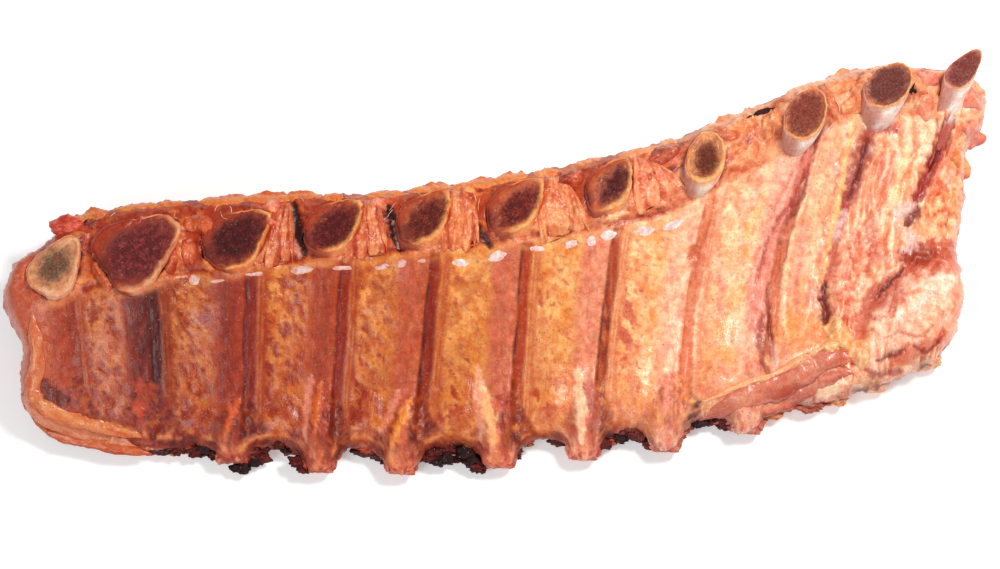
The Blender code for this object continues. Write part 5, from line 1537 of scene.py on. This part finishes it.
def make_edges():
    """The rolled edges of membrane: round the left end and along the front on the right."""
    pile = Pile()
    rolls = (
        (LEFT_RIM_PATH[:6], 0.6, (1.2, 3.0, 3.2, 3.6, 3.8, 2.4), 1.6, ((172, 84, 58), (208, 122, 84), (232, 166, 124)), 900),
        (LEFT_RIM_PATH[3:], 0.6, (2.6, 3.2, 3.4, 2.8, 1.6), 1.6, ((180, 92, 60), (214, 130, 86), (238, 178, 130)), 905),
        (LEFT_RIM_PATH[3:], -2.6, (2.6, 3.4, 3.6, 2.4), 1.5, ((184, 98, 70), (210, 132, 98), (232, 176, 150)), 910),
        (LEFT_RIM_PATH[4:], -5.6, (2.6, 3.4, 3.0, 2.2), 1.8, ((150, 70, 46), (196, 110, 70), (226, 150, 104)), 915),
        (STRIP_PATH, 3.6, (0.9, 1.3, 1.6, 1.9, 1.8), 1.3, ((206, 104, 62), (240, 160, 102), (255, 206, 154)), 920),
        (STRIP_PATH, -1.0, (3.4, 4.6, 5.6, 5.6, 3.8), 2.2, ((110, 38, 30), (188, 90, 62), (236, 156, 118)), 925),
        (STRIP_PATH[1:], -7.0, (2.4, 3.6, 3.8, 3.6, 2.4), 2.0, ((96, 34, 30), (186, 88, 64), (240, 160, 120)), 930),
    )
    for path, shift, half, rise, tones, seed in rolls:
        smooth = seed < 918
        roll(
            pile, beside(path, shift), half, rise, tones, seed, rings=110, sides=30, wet=0.75, twist=5,
            lumpy=0.34 if smooth else 0.42, knots=7 if smooth else 9,
        )
    return pile.finish("rolled_edges", sinew_finish)


def make_threads():
    """Fine pale sinews and torn ends of membrane among the lumps of the head zone."""
    pile = Pile()
    for k in range(90):
        seed = 1000 + 7 * k
        rib = lean_between(1.3, 11.4, k, seed)
        across = lean_between(0.78, 0.97, k, seed + 1)
        x, y = (float(v) for v in plan(np.array(rib), np.array(across)))
        heading = math.radians(lean_between(40, 140, k, seed + 2))
        length = lean_between(2.5, 7.5, k, seed + 3)
        bend = lean_between(-1.6, 1.6, k, seed + 4)
        dx, dy = math.cos(heading) * length / 2, math.sin(heading) * length / 2
        path = ((x - dx, y - dy), (x + bend, y + bend), (x + dx, y + dy))
        thin = lean_between(0.12, 0.24, k, seed + 5)
        tones = (CREAM, LILAC)[k % 2]
        roll(pile, path, thin, thin * 1.1, tones, seed, lift=0.25, rings=16, sides=8, blunt=(0.8, 0.8), wet=0.8)
    return pile.finish("sinew_threads", sinew_finish)


# Flakes of black crust: place, half sizes, turn.
FLAKES = (
    ((112, 63), (4.8, 1.4), 8), ((107, 62), (1.8, 1.0), 30), ((176, 71), (3.2, 2.6), 40), ((181, 67), (2.0, 1.6), 0),
    ((-93, 28), (1.6, 1.2), 20), ((122, 71), (1.5, 1.2), 0), ((143, 83), (1.6, 1.1), 10), ((-176, 17), (3.2, 2.2), 30),
    )


def make_char():
    pile = Pile()
    for k, (at, half, turn) in enumerate(FLAKES):
        pad(
            pile, oval(at, half, turn, 0.6, seed=1200 + k, count=12), 0.8, BLACK, 1220 + 3 * k, wet=0.3, grain=0.8,
            lumpy=0.5, rings=14, sides=40,
        )
    return pile.finish("char_flakes", char_finish)


# Stretches of burnt meat that stand out from the front wall: from and to x, and how far.
CHAR_BANDS = ((-146, -122, 1.0), (-111, -82, 5.0), (-38, -7, 5.5), (42, 66, 2.5), (76, 98, 1.5))


def make_burnt_edge():
    """Burnt crumbs of meat along the stretches that stand out from the front wall."""
    pile = Pile()
    for number, (low, high, reach) in enumerate(CHAR_BANDS):
        for k in range(int((high - low) / 2.2)):
            seed = 1800 + 40 * number + k
            x = lean_between(low, high, k, seed)
            rib = float(place_on_slab(np.array([x]), front_y_of(np.array([x])) + 2)[0][0])
            y = float(front_y_of(x) + notch(rib)) - lean_between(-1.5, reach, k, seed + 3)
            size = lean_between(1.6, 3.0, k, seed + 5)
            at, half = (x, y, lean_between(4.5, 8.5, k, seed + 7)), (size * 1.5, size, size)
            ball(pile, at, half, (BLACK, SOOT, SOOT)[k % 3], seed, lumpy=0.4, grain=0.5)
    return pile.finish("burnt_edge", char_finish)


def make_front_lumps():
    """Ragged meat on the front wall, between and under the stubs, and the knob at the back."""
    pile = Pile()
    for k in range(70):
        seed = 1300 + 5 * k
        x = lean_between(-196, 180, k, seed)
        rib = float(place_on_slab(np.array([x]), front_y_of(np.array([x])) + 2)[0][0])
        y = float(front_y_of(x) + notch(rib)) + lean_between(0.5, 3.2, k, seed + 1)
        size = lean_between(2.0, 4.4, k, seed + 2)
        dark = lean_between(0, 1, k, seed + 3) + (0.3 if x < 60 else -0.3)
        tones = SOOT if dark > 0.75 else RUST if dark > 0.4 else PINK if dark > 0.2 else ORANGE
        at = (x, y, lean_between(3.5, 8.0, k, seed + 4))
        ball(pile, at, (size * 1.7, size * 0.8, size * 0.7), tones, seed, lumpy=0.5, grain=0.4, wet=0.45)
    for number in range(3, 10):
        rib = RIBS[number - 1]
        x, y = (float(v) for v in plan(number, 0.0))
        tones = ((150, 60, 50), (206, 112, 88), (240, 168, 138)) if number < 6 else ((186, 86, 66), (232, 138, 110), (252, 190, 158))
        seed = 1700 + 9 * number
        ball(pile, (x + 4.6, y + 0.5, 7), (3.0, rib["stub"] / 2 + 2.5, 4.4), RUST, seed + 3, lumpy=0.2, wet=0.5)
        ball(pile, (x - 5.4, y + 0.5, 7), (2.6, rib["stub"] / 2 + 2.5, 4.4), tones, seed + 6, lumpy=0.2, wet=0.5)
    ball(pile, (-184.5, 14.5, 34), (7.4, 5.2, 5.0), ((150, 50, 42), (206, 88, 70), (232, 128, 104)), 1600, lumpy=0.22)
    ball(pile, (-174, 15, 33), (5.5, 3.0, 4.4), ((70, 24, 24), (120, 50, 40), (176, 90, 66)), 1604, lumpy=0.2)
    for at, half in (((138, -53, 6), (7, 4, 5)), ((160, -48, 6), (8, 4.4, 5)), ((150, -50, 7), (5, 3, 4)), ((184, -38, 7), (6, 4, 5))):
        ball(pile, at, half, ((190, 110, 70), (238, 170, 124), (252, 204, 160)), 1610 + int(at[0]), lumpy=0.25)
    ball(pile, (105, -66, 7), (7.5, 4.0, 5.5), ((80, 28, 28), (150, 62, 52), (214, 120, 96)), 1640, lumpy=0.3, grain=0.4)
    return pile.finish("front_meat", meat_finish)


make_meat()
for number in range(1, LAST):
    make_bone(number)
make_fans()
make_lumps()
make_back_edge_fat()
make_flecks()
make_edges()
make_threads()
make_char()
make_burnt_edge()
make_front_lumps()

# ------------------------------------------------------------------ floor, light and camera


def make_floor():
    mesh = bpy.data.meshes.new("floor")
    mesh.from_pydata([(-3, -3, -0.0005), (3, -3, -0.0005), (3, 3, -0.0005), (-3, 3, -0.0005)], [], [(0, 1, 2, 3)])
    white = Shader("white table")
    faint = white.node("ShaderNodeTexNoise", Scale=3.0, Detail=1.0)
    white.set(Base_Color=white.mix((0.93, 0.93, 0.93, 1), (0.96, 0.96, 0.96, 1), faint), Roughness=0.7)
    white.set(Emission_Color=(1, 1, 1, 1), Emission_Strength=0.3)
    mesh.materials.append(white.material)
    floor = bpy.data.objects.new("floor", mesh)
    bpy.context.scene.collection.objects.link(floor)


def make_light(name, at, towards, size, power, colour=(1, 1, 1)):
    lamp = bpy.data.lights.new(name, "AREA")
    lamp.shape, lamp.size, lamp.energy, lamp.color = "DISK", size, power, colour
    holder = bpy.data.objects.new(name, lamp)
    holder.location = at
    holder.rotation_euler = (Vector(towards) - Vector(at)).to_track_quat("-Z", "Y").to_euler()
    bpy.context.scene.collection.objects.link(holder)


make_floor()
make_light("key", (0.4, 0.16, 0.84), (0.08, 0, 0), 0.22, 6.5, (1, 0.97, 0.93))
make_light("fill", (-0.5, -0.55, 0.75), (-0.05, 0, 0), 0.45, 3.2, (0.97, 0.98, 1))
world = bpy.data.worlds.new("studio")
world.use_nodes = True
world.node_tree.nodes["Background"].inputs["Color"].default_value = (1, 1, 1, 1)
world.node_tree.nodes["Background"].inputs["Strength"].default_value = 0.3
bpy.context.scene.world = world

CAMERA_TARGET = Vector((0, -0.0075, 0.020))
CAMERA_DISTANCE = 1.29
CAMERA_ELEVATION = math.radians(75)
lens = bpy.data.cameras.new("camera")
lens.lens, lens.sensor_width = 108, 36
camera = bpy.data.objects.new("camera", lens)
away = Vector((0, -math.cos(CAMERA_ELEVATION), math.sin(CAMERA_ELEVATION)))
camera.location = CAMERA_TARGET + CAMERA_DISTANCE * away
camera.rotation_euler = (math.pi / 2 - CAMERA_ELEVATION, 0, 0)
bpy.context.scene.collection.objects.link(camera)
bpy.context.scene.camera = camera
bpy.context.scene.view_settings.view_transform = "Standard"
